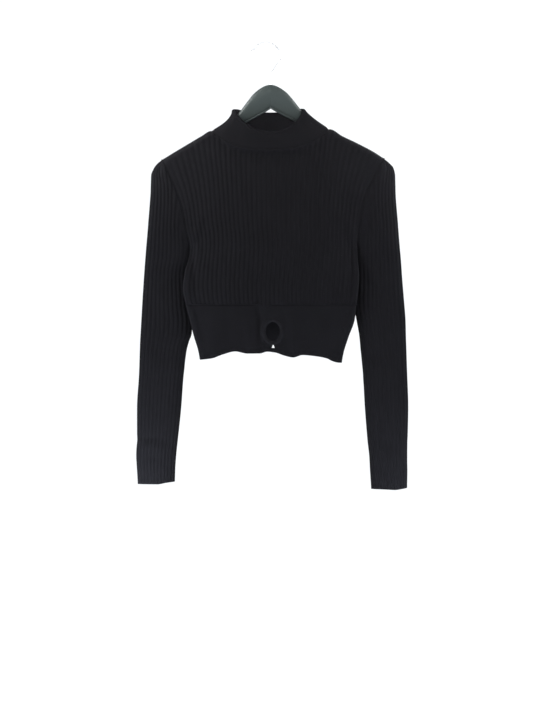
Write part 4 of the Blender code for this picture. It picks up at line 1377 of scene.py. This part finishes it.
    def build_rim(self, material: bpy.types.Material) -> bpy.types.Object:
        """The rolled rim round the keyhole: a torus shaped to the oval and to the band's curve."""
        hole = self.keyhole
        form = self.body.form
        tube = hole.rim_width / 2
        bpy.ops.object.select_all(action="DESELECT")
        bpy.ops.mesh.primitive_torus_add(
            major_segments=96, minor_segments=20, major_radius=MM * (hole.half_width + tube),
            minor_radius=MM * tube, location=(0, 0, 0), rotation=(math.pi / 2, 0, 0),
        )
        rim = bpy.context.object
        bpy.ops.object.transform_apply(location=True, rotation=True, scale=True)
        shape = bmesh.new()
        shape.from_mesh(rim.data)
        left, right = (float(side) for side in sides(form.edges, np.array(hole.z)))
        for vertex in shape.verts:
            x, y, z = (value / MM for value in vertex.co)
            turn = math.atan2(z, x)
            out = math.hypot(x, z) - hole.half_width
            x = (hole.half_width + out) * math.cos(turn)
            z = (hole.half_height + out) * math.sin(turn)
            across = 2 * (hole.x + x - left) / (right - left) - 1
            face = -float(form.depth(np.array(across), np.array(hole.z), Face.FRONT))
            waver = hole.broad_waver * math.sin(5 * turn + 0.6)
            waver += hole.fine_waver * math.sin(9 * turn)
            y = y * hole.rim_thickness / hole.rim_width + face + form.wall / 2 - hole.rim_sink
            vertex.co = (MM * (hole.x + x), MM * (y + waver), MM * (hole.z + z))
        shape.to_mesh(rim.data)
        shape.free()
        return finish_piece(rim, "keyhole_rim_cloth", material)


# --- Hanger and hook -----------------------------------------------------------------


class Sweep:
    """A round bar swept along a route in the front view by extruding a disc."""

    def __init__(self, radius: float, sides: int) -> None:
        """Keep the bar's radius in millimetres and its number of sides."""
        self.radius = radius
        self.sides = sides

    def build(self, route: list[tuple[float, float]]) -> bpy.types.Object:
        """Sweep the disc from the route's first point to its last.

        Args:
            route: Points as x and z, in millimetres.

        Returns:
            The bar, closed at both ends.
        """
        points = [Vector((MM * x, 0, MM * z)) for x, z in route]
        headings = []
        for i in range(len(points)):
            before, after = points[max(i - 1, 0)], points[min(i + 1, len(points) - 1)]
            run = after - before
            headings.append(math.atan2(run.x, run.z))
        bpy.ops.object.select_all(action="DESELECT")
        bpy.ops.mesh.primitive_circle_add(
            vertices=self.sides, radius=MM * self.radius, fill_type="NGON",
            location=points[0], rotation=(0, headings[0], 0),
        )
        bar = bpy.context.object
        bpy.ops.object.mode_set(mode="EDIT")
        bpy.ops.mesh.select_all(action="SELECT")
        for i in range(1, len(points)):
            bpy.ops.mesh.extrude_region_move(
                TRANSFORM_OT_translate={"value": points[i] - points[i - 1]}
            )
            bpy.ops.transform.rotate(
                value=headings[i - 1] - headings[i], orient_axis="Y",
                center_override=points[i],
            )
        bpy.ops.mesh.select_all(action="SELECT")
        bpy.ops.mesh.normals_make_consistent(inside=False)
        bpy.ops.object.mode_set(mode="OBJECT")
        bpy.ops.object.transform_apply(location=True, rotation=True, scale=True)
        return bar


@dataclass
class Hanger:
    """The moulded hanger and its wire hook."""

    x: float = 7.9
    tilt: float = math.radians(0.85)
    pivot: float = -74.0
    wire: float = 3.4
    hook_radius: float = 25.5
    stem_foot: float = -92.0
    stem_top: float = -56.0
    flange_height: float = 2.4
    flange_depth: float = 12.4
    thickest: float = 0.35
    foot_share: float = 0.2
    foot_roundness: float = 1.7
    top_roundness: float = 0.96
    flange_front: float = 0.2
    hook_turns: tuple[int, int, int] = (-24, 151, 6)
    hook_tip: tuple[tuple[float, float], ...] = ((-24.6, -13.2), (-27.4, -15.0))
    block_width: float = 2.0
    rounding: float = 2.4
    arms: tuple[Arm, ...] = (
        Arm(0.0, -73.4, -116.6, 8.2),
        Arm(9.0, -75.2, -122.2, 7.8),
        Arm(17.0, -79.0, -126.6, 7.3),
        Arm(26.8, -86.1, -131.8, 6.8),
        Arm(33.7, -92.8, -135.3, 6.6),
        Arm(44.5, -106.7, -140.8, 6.2),
        Arm(55.8, -121.9, -146.3, 5.6),
        Arm(68.4, -136.1, -153.7, 5.2),
        Arm(82.8, -148.3, -162.3, 5.0),
        Arm(100.0, -159.3, -172.7, 5.0),
        Arm(122.4, -171.7, -185.9, 5.2),
        Arm(150.0, -185.7, -202.3, 5.5),
        Arm(176.0, -200.6, -217.7, 5.3),
        Arm(192.0, -210.4, -226.7, 4.6),
        Arm(200.0, -217.0, -229.3, 3.2),
    )

    def tilted(self, x: float, z: float) -> tuple[float, float]:
        """A point of the hanger, turned with it about the foot of its stem."""
        height = z - self.pivot
        return (
            self.x + x * math.cos(self.tilt) - height * math.sin(self.tilt),
            self.pivot + x * math.sin(self.tilt) + height * math.cos(self.tilt),
        )

    def thickness(self, height: float) -> float:
        """Share of the arm's depth at a height from -1, its foot, to 1, its rounded top."""
        if height > self.thickest:
            above = (height - self.thickest) / (1 - self.thickest)
            return math.sqrt(1 - self.top_roundness * above**2)
        below = (height + 1) / (1 + self.thickest)
        return self.foot_share + (1 - self.foot_share) * (1 - (1 - below) ** self.foot_roundness)

    def build_body(self, material: bpy.types.Material) -> bpy.types.Object:
        """Extrude a block out along both arms, then round it by subdivision."""
        first = self.arms[0]
        bpy.ops.object.select_all(action="DESELECT")
        bpy.ops.mesh.primitive_cube_add(
            size=1,
            location=(0, 0, MM * (first.top + first.foot) / 2),
            scale=(MM * self.block_width, MM * 2 * first.depth, MM * (first.top - first.foot)),
        )
        body = bpy.context.object
        bpy.ops.object.transform_apply(location=True, rotation=True, scale=True)
        for side in Side:
            self.extrude_arm(body, side, self.block_width / 2)
        apply_modifier(
            body, "BEVEL", width=MM * self.rounding, segments=3,
            limit_method="ANGLE", angle_limit=math.radians(50),
        )
        apply_modifier(body, "SUBSURF", levels=3, render_levels=3)
        shape = bmesh.new()
        shape.from_mesh(body.data)
        reaches = [arm.reach for arm in self.arms]
        tops, feet = [arm.top for arm in self.arms], [arm.foot for arm in self.arms]
        for vertex in shape.verts:
            x, z = vertex.co.x / MM, vertex.co.z / MM
            top, foot = np.interp(abs(x), reaches, tops), np.interp(abs(x), reaches, feet)
            height = np.clip((2 * z - top - foot) / (top - foot), -1, 1)
            vertex.co.y *= self.thickness(float(height))
            x, z = self.tilted(x, z)
            vertex.co.x, vertex.co.z = MM * x, MM * z
        shape.to_mesh(body.data)
        shape.free()
        return finish_piece(body, "hanger_moulding", material)

    def extrude_arm(self, body: bpy.types.Object, side: Side, start: float) -> None:
        """Extrude the block's end face out to the arm's tip, fitting it to each section."""
        bpy.ops.object.mode_set(mode="EDIT")
        bpy.ops.mesh.select_all(action="DESELECT")
        shape = bmesh.from_edit_mesh(body.data)
        for face in shape.faces:
            from_end = face.calc_center_median().x * side.value - MM * start
            if face.normal.x * side.value > 0.9 and abs(from_end) < 1e-5:
                face.select_set(True)
        bmesh.update_edit_mesh(body.data)
        here, at = self.arms[0], start
        for arm in self.arms[1:]:
            middle = (arm.top + arm.foot) / 2
            rise = middle - (here.top + here.foot) / 2
            bpy.ops.mesh.extrude_region_move(
                TRANSFORM_OT_translate={
                    "value": (side.value * MM * (arm.reach - at), 0, MM * rise)
                }
            )
            bpy.ops.transform.resize(
                value=(1, arm.depth / here.depth, (arm.top - arm.foot) / (here.top - here.foot)),
                center_override=(side.value * MM * arm.reach, 0, MM * middle),
            )
            here, at = arm, arm.reach
        bpy.ops.object.mode_set(mode="OBJECT")

    def build_flanges(self, material: bpy.types.Material) -> list[bpy.types.Object]:
        """The thin, flat-fronted flange along the foot of each arm, as deep as the arm is thick."""
        flanges = []
        for side in Side:
            route = []
            for arm in self.arms[:-2]:
                foot = arm.foot + self.flange_height / 2
                route.append(self.tilted(side.value * arm.reach, foot))
            made = Sweep(self.flange_height / 2, 20).build(route)
            for vertex in made.data.vertices:
                share = 2 * vertex.co.y / (MM * self.flange_height)
                flat_front = math.copysign(abs(share) ** self.flange_front, share)
                vertex.co.y = MM * self.flange_depth / 2 * flat_front
            name = f"hanger_flange_{side.name.lower()}"
            flanges.append(finish_piece(made, name, material))
        return flanges

    def hook_route(self) -> list[tuple[float, float]]:
        """Centre line of the wire from the foot of its stem to its flared tip."""
        route = [(self.x, self.stem_foot), (self.x, -76.0), (self.x, self.stem_top - 8.0)]
        route += [(self.x, self.stem_top - 4.0), (self.x + 0.7, self.stem_top + 1.0)]
        middle = self.wire / 2 - self.hook_radius
        for degrees in range(*self.hook_turns):
            turn = math.radians(degrees)
            x = self.hook_radius * math.cos(turn)
            route.append((x, middle + self.hook_radius * math.sin(turn)))
        return route + list(self.hook_tip)

    def build_hook(self, material: bpy.types.Material) -> bpy.types.Object:
        """Sweep the wire and soften its bends."""
        hook = Sweep(self.wire / 2, 16).build(self.hook_route())
        apply_modifier(hook, "SUBSURF", levels=1, render_levels=1)
        return finish_piece(hook, "wire_hook", material)


# --- Finishes ------------------------------------------------------------------------


@dataclass(frozen=True)
class Finish:
    """A material's constant settings."""

    name: str
    colour: tuple[float, float, float]
    roughness: float
    metallic: float = 0.0
    sheen: float = 0.0
    sheen_roughness: float = 0.5
    specular: float = 0.5

    def start(self) -> tuple[bpy.types.Material, bpy.types.Node]:
        """Make the material with its constant sockets set, and give its shader."""
        made = bpy.data.materials.new(self.name)
        made.use_nodes = True
        shader = made.node_tree.nodes["Principled BSDF"]
        shader.inputs["Base Color"].default_value = (*self.colour, 1.0)
        shader.inputs["Roughness"].default_value = self.roughness
        shader.inputs["Metallic"].default_value = self.metallic
        shader.inputs["Sheen Weight"].default_value = self.sheen
        shader.inputs["Sheen Roughness"].default_value = self.sheen_roughness
        shader.inputs["Specular IOR Level"].default_value = self.specular
        return made, shader


KNIT = Finish("knit", (0.0063, 0.0061, 0.0070), 0.92, sheen=0.008, specular=0.02)
PLASTIC = Finish("plastic", (0.024, 0.030, 0.029), 0.48, specular=0.15)
CHROME = Finish("chrome", (0.82, 0.83, 0.85), 0.12, metallic=1.0)

WALES_PER_RIB = 7.0
COURSES_PER_UNIT = 8.0
LEG_PLACE = 0.24
LEG_WIDTH = 0.15
LEG_SLANT = 1.1
LOOP_WAVE = 0.3
BROAD_SCALE = 14.0
FINE_SHARE = 0.6
KNIT_GRAIN = 420.0
YARN_GRAIN = 900.0
PLASTIC_GRAIN = 900.0
PLATING_GRAIN = 260.0
GROOVE_SHADE = 0.35
LINT_SHARE = 0.10
LINT_COLOUR = (0.25, 0.26, 0.28, 1.0)
LINT_SCALE = 160.0
LINT_SIZE = 0.045


class NodeDesk:
    """Adds and joins nodes in one tree."""

    def __init__(self, tree: bpy.types.NodeTree) -> None:
        """Keep the tree."""
        self.tree = tree

    def add(self, kind: str, **settings: object) -> bpy.types.Node:
        """Add a node and set its properties."""
        node = self.tree.nodes.new(kind)
        for key, value in settings.items():
            setattr(node, key, value)
        return node

    def feed(self, socket: bpy.types.NodeSocket, value: object) -> None:
        """Join an output to a socket, or set the socket's constant."""
        if isinstance(value, bpy.types.NodeSocket):
            self.tree.links.new(value, socket)
        else:
            socket.default_value = value

    def linear(self, value: object, gain: float, start: float) -> bpy.types.NodeSocket:
        """A value times a gain, plus a start."""
        return self.math("ADD", self.math("MULTIPLY", value, gain), start)

    def math(self, operation: str, *values: object) -> bpy.types.NodeSocket:
        """A math node's result."""
        node = self.add("ShaderNodeMath", operation=operation)
        for socket, value in zip(node.inputs, values):
            self.feed(socket, value)
        return node.outputs[0]

    def noise(self, vector: object, scale: float, detail: float) -> bpy.types.NodeSocket:
        """A noise texture's value."""
        node = self.add("ShaderNodeTexNoise")
        self.feed(node.inputs["Vector"], vector)
        node.inputs["Scale"].default_value = scale
        node.inputs["Detail"].default_value = detail
        return node.outputs["Fac"]


class GroupDesk(NodeDesk):
    """A node group that is being made, with its sockets."""

    def __init__(self, name: str, given: dict[str, str], made: tuple[str, ...]) -> None:
        """Make the group.

        Args:
            name: The group's name.
            given: The kind of each input, by its name.
            made: Names of the outputs, which are numbers.
        """
        super().__init__(bpy.data.node_groups.new(name, "ShaderNodeTree"))
        sockets = self.tree.interface
        for socket, kind in given.items():
            sockets.new_socket(socket, in_out="INPUT", socket_type=f"NodeSocket{kind}")
        for socket in made:
            sockets.new_socket(socket, in_out="OUTPUT", socket_type="NodeSocketFloat")
        self.given = self.add("NodeGroupInput").outputs
        self.made = self.add("NodeGroupOutput").inputs


def stitch_group() -> bpy.types.NodeTree:
    """Knit stitches as a height and a groove mask, from a map in ribs and courses."""
    kinds = {"Map": "Vector", "Wales": "Float", "Courses": "Float"}
    desk = GroupDesk("knit_stitches", kinds, ("Height", "Groove"))
    split = desk.add("ShaderNodeSeparateXYZ")
    desk.feed(split.inputs[0], desk.given["Map"])
    wale = desk.math("MULTIPLY", split.outputs["X"], desk.given["Wales"])
    course = desk.math("MULTIPLY", split.outputs["Y"], desk.given["Courses"])
    leg = desk.math("ABSOLUTE", desk.math("SUBTRACT", desk.math("FRACT", wale), 0.5))
    apart = desk.math("DIVIDE", desk.math("SUBTRACT", leg, LEG_PLACE), LEG_WIDTH)
    square = desk.math("MULTIPLY", apart, apart)
    loop = desk.math("EXPONENT", desk.math("MULTIPLY", square, -1.0))
    slant = desk.math("ADD", course, desk.math("MULTIPLY", leg, LEG_SLANT))
    wave = desk.math("COSINE", desk.math("MULTIPLY", slant, 2 * math.pi))
    height = desk.math("MULTIPLY", loop, desk.linear(wave, LOOP_WAVE, 1 - LOOP_WAVE))
    desk.feed(desk.made["Height"], height)
    desk.feed(desk.made["Groove"], desk.math("SUBTRACT", 1.0, height))
    return desk.tree


def fuzz_group() -> bpy.types.NodeTree:
    """Uneven tone of a yarn or a moulding, and sparse pale lint, from object coordinates."""
    kinds = {"Place": "Vector", "Scale": "Float"}
    desk = GroupDesk("uneven_tone", kinds, ("Tone", "Lint"))
    place = desk.given["Place"]
    fine = desk.add("ShaderNodeTexNoise")
    desk.feed(fine.inputs["Vector"], place)
    desk.feed(fine.inputs["Scale"], desk.given["Scale"])
    fine.inputs["Detail"].default_value = 6.0
    broad = desk.math("MULTIPLY", desk.noise(place, BROAD_SCALE, 2.0), 1 - FINE_SHARE)
    tone = desk.math("ADD", desk.math("MULTIPLY", fine.outputs["Fac"], FINE_SHARE), broad)
    desk.feed(desk.made["Tone"], tone)
    specks = desk.add("ShaderNodeTexVoronoi")
    desk.feed(specks.inputs["Vector"], place)
    specks.inputs["Scale"].default_value = LINT_SCALE
    near = desk.math("LESS_THAN", specks.outputs["Distance"], LINT_SIZE)
    desk.feed(desk.made["Lint"], near)
    return desk.tree


class Finishes:
    """All the materials, with the shared groups made once."""

    def __init__(self) -> None:
        """Make the groups, then each material."""
        self.stitches = stitch_group()
        self.fuzz = fuzz_group()
        # Painted light on the cloth's inner face: a little on the plain band, more on the ribbed and
        # rolled cloth, most inside the funnel collar.
        self.ribbed = self.knit("ribbed_knit")
        self.smooth = self.knit("plain_knit", inner_light_gain=0.3)
        self.funnel = self.knit("funnel_knit", inner_light_gain=3.6)
        self.rolled = self.knit("rolled_knit", light=1.35)
        self.yarn = self.spun()
        self.plastic = self.moulded()
        self.chrome = self.plated()

    def uneven(self, desk: NodeDesk, scale: float) -> bpy.types.Node:
        """The shared uneven tone over a piece, with its grain at the given scale."""
        place = desk.add("ShaderNodeTexCoord")
        fuzz = desk.add("ShaderNodeGroup", node_tree=self.fuzz)
        desk.feed(fuzz.inputs["Place"], place.outputs["Object"])
        fuzz.inputs["Scale"].default_value = scale
        return fuzz

    @staticmethod
    def raise_surface(
        desk: NodeDesk, shader: bpy.types.Node, height: object, strength: float, depth: float
    ) -> None:
        """Give the shader a relief, its depth in millimetres."""
        bump = desk.add("ShaderNodeBump")
        bump.inputs["Strength"].default_value = strength
        bump.inputs["Distance"].default_value = depth * MM
        desk.feed(bump.inputs["Height"], height)
        desk.feed(shader.inputs["Normal"], bump.outputs["Normal"])

    @staticmethod
    def knit_colour(light: float) -> tuple[float, float, float, float]:
        """The yarn's colour, lighter or darker by a factor."""
        return (*(light * value for value in KNIT.colour), 1.0)

    def knit(self, name: str, light: float = 1.0, inner_light_gain: float = 0.9) -> bpy.types.Material:
        """Matt knit with stitches in relief, darker between the loops, with a little lint and painted
        light on its inner face.

        Args:
            name: The material's name.
            light: How much lighter than the plain cloth it is, as a factor.
            inner_light_gain: Painted light on the cloth's inner face: how much lighter than the outer
                face it is painted, as a share.

        Returns:
            The material.
        """
        made, shader = KNIT.start()
        made.name = name
        desk = NodeDesk(made.node_tree)
        cloth_map = desk.add("ShaderNodeUVMap", uv_map="ribs_and_courses")
        stitches = desk.add("ShaderNodeGroup", node_tree=self.stitches)
        desk.feed(stitches.inputs["Map"], cloth_map.outputs[0])
        stitches.inputs["Wales"].default_value = WALES_PER_RIB
        stitches.inputs["Courses"].default_value = COURSES_PER_UNIT
        fuzz = self.uneven(desk, KNIT_GRAIN)
        tone = desk.linear(fuzz.outputs["Tone"], 0.7, 0.65)
        dark = desk.math("MULTIPLY", stitches.outputs["Groove"], GROOVE_SHADE)
        shade = desk.math("SUBTRACT", 1.0, dark)
        # Painted light: the cloth's inner face is painted lighter than its outer face, by the share
        # given for each knit.
        painted_inner_light = desk.add("ShaderNodeAttribute", attribute_name="inner_face_painted_light")
        side = desk.linear(painted_inner_light.outputs["Fac"], inner_light_gain, 1.0)
        both = desk.math("MULTIPLY", desk.math("MULTIPLY", tone, shade), side)
        grey = desk.add("ShaderNodeCombineColor")
        for socket in grey.inputs[:3]:
            desk.feed(socket, both)
        lit = desk.add("ShaderNodeMix", data_type="RGBA", blend_type="MULTIPLY")
        lit.inputs["Factor"].default_value = 1.0
        lit.inputs["A"].default_value = self.knit_colour(light)
        desk.feed(lit.inputs["B"], grey.outputs[0])
        lint = desk.add("ShaderNodeMix", data_type="RGBA")
        desk.feed(lint.inputs["Factor"], desk.math("MULTIPLY", fuzz.outputs["Lint"], LINT_SHARE))
        desk.feed(lint.inputs["A"], lit.outputs["Result"])
        lint.inputs["B"].default_value = LINT_COLOUR
        desk.feed(shader.inputs["Base Color"], lint.outputs["Result"])
        self.raise_surface(desk, shader, stitches.outputs["Height"], 0.55, 0.35)
        return made

    def spun(self) -> bpy.types.Material:
        """The linking yarn: matt and slightly uneven."""
        made, shader = KNIT.start()
        made.name = "linking_yarn"
        desk = NodeDesk(made.node_tree)
        tones = desk.add("ShaderNodeMix", data_type="RGBA")
        desk.feed(tones.inputs["Factor"], self.uneven(desk, YARN_GRAIN).outputs["Tone"])
        tones.inputs["A"].default_value = self.knit_colour(0.5)
        tones.inputs["B"].default_value = self.knit_colour(1.2)
        desk.feed(shader.inputs["Base Color"], tones.outputs["Result"])
        return made

    def moulded(self) -> bpy.types.Material:
        """Moulded plastic: a fine grain and a slightly uneven gloss."""
        made, shader = PLASTIC.start()
        desk = NodeDesk(made.node_tree)
        tone = self.uneven(desk, PLASTIC_GRAIN).outputs["Tone"]
        desk.feed(shader.inputs["Roughness"], desk.linear(tone, 0.16, 0.35))
        self.raise_surface(desk, shader, tone, 0.15, 0.1)
        return made

    @staticmethod
    def plated() -> bpy.types.Material:
        """Plated wire with faint handling marks."""
        made, shader = CHROME.start()
        desk = NodeDesk(made.node_tree)
        place = desk.add("ShaderNodeTexCoord")
        marks = desk.noise(place.outputs["Object"], PLATING_GRAIN, 5.0)
        desk.feed(shader.inputs["Roughness"], desk.linear(marks, 0.12, 0.06))
        return made


# --- Studio --------------------------------------------------------------------------


@dataclass(frozen=True)
class Lamp:
    """A square soft light that faces the garment's middle and isn't seen itself."""

    name: str
    place: Place
    size: float
    power: float
    colour: Colour = WHITE
    aim: float = -420.0

    def build(self) -> None:
        """Make the light."""
        data = bpy.data.lights.new(self.name, "AREA")
        data.shape = "SQUARE"
        data.size = MM * self.size
        data.energy = self.power
        data.color = self.colour
        lamp = bpy.data.objects.new(self.name, data)
        lamp.location = [MM * value for value in self.place]
        towards = Vector((0, 0, MM * self.aim)) - lamp.location
        lamp.rotation_euler = towards.to_track_quat("-Z", "Y").to_euler()
        lamp.visible_camera = False
        bpy.context.scene.collection.objects.link(lamp)


LAMPS = (
    Lamp("front_light", (-250, -2600, 800), 900, 11.0),
    Lamp("back_light", (300, 2400, 700), 900, 20.0),
    Lamp("left_light", (-520, -170, -230), 250, 2.2, SKY),
    Lamp("right_light", (550, -170, -230), 250, 2.4, SKY),
    Lamp("top_left_light", (-310, -110, 20), 220, 4.6),
    Lamp("top_right_light", (360, -110, 20), 220, 3.5),
    Lamp("low_left_light", (-330, -200, -940), 200, 6.6, SKY),
    Lamp("low_right_light", (370, -200, -940), 200, 4.2, SKY),
)


@dataclass
class Studio:
    """Camera, lights, pale floor and white surroundings."""

    image_height: float = 711.0
    image_width: float = 533.0
    pixel: float = 1.8
    zero_x: float = 266.0
    zero_y: float = 43.8
    distance: float = 7000.0
    sensor: float = 36.0
    floor_height: float = -1290.0
    floor_glow: float = 0.92
    floor_width: float = 14000.0
    seen_white: float = 0.92
    mirrored_white: float = 0.6
    ambient: float = 0.15

    def build(self) -> None:
        """Set everything round the garment."""
        scene = bpy.context.scene
        scene.view_settings.view_transform = "Standard"
        self.camera()
        self.surroundings()
        self.floor()
        for lamp in LAMPS:
            lamp.build()

    def camera(self) -> None:
        """A level camera opposite the middle of the photograph's frame."""
        x = (self.image_width / 2 - self.zero_x) * self.pixel
        z = (self.zero_y - self.image_height / 2) * self.pixel
        data = bpy.data.cameras.new("camera")
        data.sensor_width = self.sensor
        data.lens = self.sensor * self.distance / (self.image_height * self.pixel)
        data.clip_end = 50.0
        camera = bpy.data.objects.new("camera", data)
        camera.location = (MM * x, -MM * self.distance, MM * z)
        camera.rotation_euler = (math.pi / 2, 0, 0)
        bpy.context.scene.collection.objects.link(camera)
        bpy.context.scene.camera = camera

    def surroundings(self) -> None:
        """Soft white light from all round, pure white where the camera sees it."""
        world = bpy.data.worlds.new("white_room")
        world.use_nodes = True
        desk = NodeDesk(world.node_tree)
        shade = world.node_tree.nodes["Background"]
        shade.inputs["Color"].default_value = (0.96, 0.98, 1.0, 1.0)
        path = desk.add("ShaderNodeLightPath")
        seen = desk.math("MULTIPLY", path.outputs["Is Camera Ray"], self.seen_white)
        glossy = desk.math("MULTIPLY", path.outputs["Is Glossy Ray"], self.mirrored_white)
        strength = desk.math("ADD", desk.math("ADD", seen, glossy), self.ambient)
        desk.feed(shade.inputs["Strength"], strength)
        bpy.context.scene.world = world

    def floor(self) -> None:
        """A wide pale floor below the garment."""
        bpy.ops.object.select_all(action="DESELECT")
        bpy.ops.mesh.primitive_plane_add(
            size=MM * self.floor_width, location=(0, 0, MM * self.floor_height)
        )
        floor = bpy.context.object
        floor.name = "floor"
        made = bpy.data.materials.new("pale_floor")
        made.use_nodes = True
        shader = made.node_tree.nodes["Principled BSDF"]
        shader.inputs["Base Color"].default_value = (0.93, 0.94, 0.95, 1.0)
        shader.inputs["Roughness"].default_value = 0.9
        shader.inputs["Specular IOR Level"].default_value = 0.1
        shader.inputs["Emission Color"].default_value = (1.0, 1.0, 1.0, 1.0)
        shader.inputs["Emission Strength"].default_value = self.floor_glow
        floor.data.materials.append(made)


def place_piece(piece: bpy.types.Object, slot: str, *nodes: str) -> bpy.types.Object:
    """Let a piece ride with the garment and stand for its nodes."""
    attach(piece, "root")
    if nodes:
        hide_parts(*nodes)
    LOG.info("%s: %d faces", piece.name, len(piece.data.polygons))
    return piece


def declare(piece: bpy.types.Object, cut: Cut) -> None:
    """Say what flat cloth a piece was made from."""
    LOG.info("  cut %.3f x %.3f m, %.4f m2", cut.width, cut.length, cut.area)


def join_seams(seams: list[LinkedSeam], material: bpy.types.Material) -> bpy.types.Object:
    """Make all the linking loops as one piece."""
    shape = bmesh.new()
    for seam in seams:
        seam.add_to(shape)
    mesh = bpy.data.meshes.new("linking_loops")
    shape.to_mesh(mesh)
    shape.free()
    return finish_cloth("linking_loops", mesh, material)


def main() -> None:
    """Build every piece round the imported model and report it."""
    logging.basicConfig(level=logging.INFO, format="%(message)s")
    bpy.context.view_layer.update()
    finishes = Finishes()
    Studio().build()
    hanger = Hanger()
    place_piece(hanger.build_body(finishes.plastic), "plastic", "hanger_body")
    for flange in hanger.build_flanges(finishes.plastic):
        place_piece(flange, "plastic")
    place_piece(hanger.build_hook(finishes.chrome), "chrome", "hanger_hook")
    body = BodyCloth(BodyForm())
    for face in Face:
        panel = place_piece(
            body.build(face, finishes.ribbed), "knit", f"{face.name.lower()}_panel"
        )
        declare(panel, Cut.of(body.surface(face)[0], False))
    collar = CollarCloth(body)
    seams = body.seams(collar.corner_columns) + [collar.seam()]
    for form, creases in ((LEFT_SLEEVE, LEFT_SLEEVE_CREASES), (RIGHT_SLEEVE, RIGHT_SLEEVE_CREASES)):
        cloth = SleeveCloth(body, form, creases)
        sleeve = cloth.build(finishes.ribbed)
        place_piece(sleeve, "knit", f"sleeve_{form.side.name.lower()}")
        declare(sleeve, Cut.of(cloth.rows()[0], True))
        seams.append(cloth.seam())
    funnel = place_piece(collar.build(finishes.funnel), "knit", "collar")
    declare(funnel, Cut.of(collar.surface(), True))
    band = BandCloth(body, Keyhole())
    for face in Face:
        half = place_piece(band.build(face, finishes.smooth), "knit", f"band_{face.name.lower()}")
        declare(half, Cut.of(band.surface(face)[0], False))
    seams += band.seams()
    rim = place_piece(band.build_rim(finishes.rolled), "knit", "keyhole_binding")
    declare(rim, band.keyhole.cut())
    place_piece(join_seams(seams, finishes.yarn), "knit")


if __name__ == "__main__":
    main()
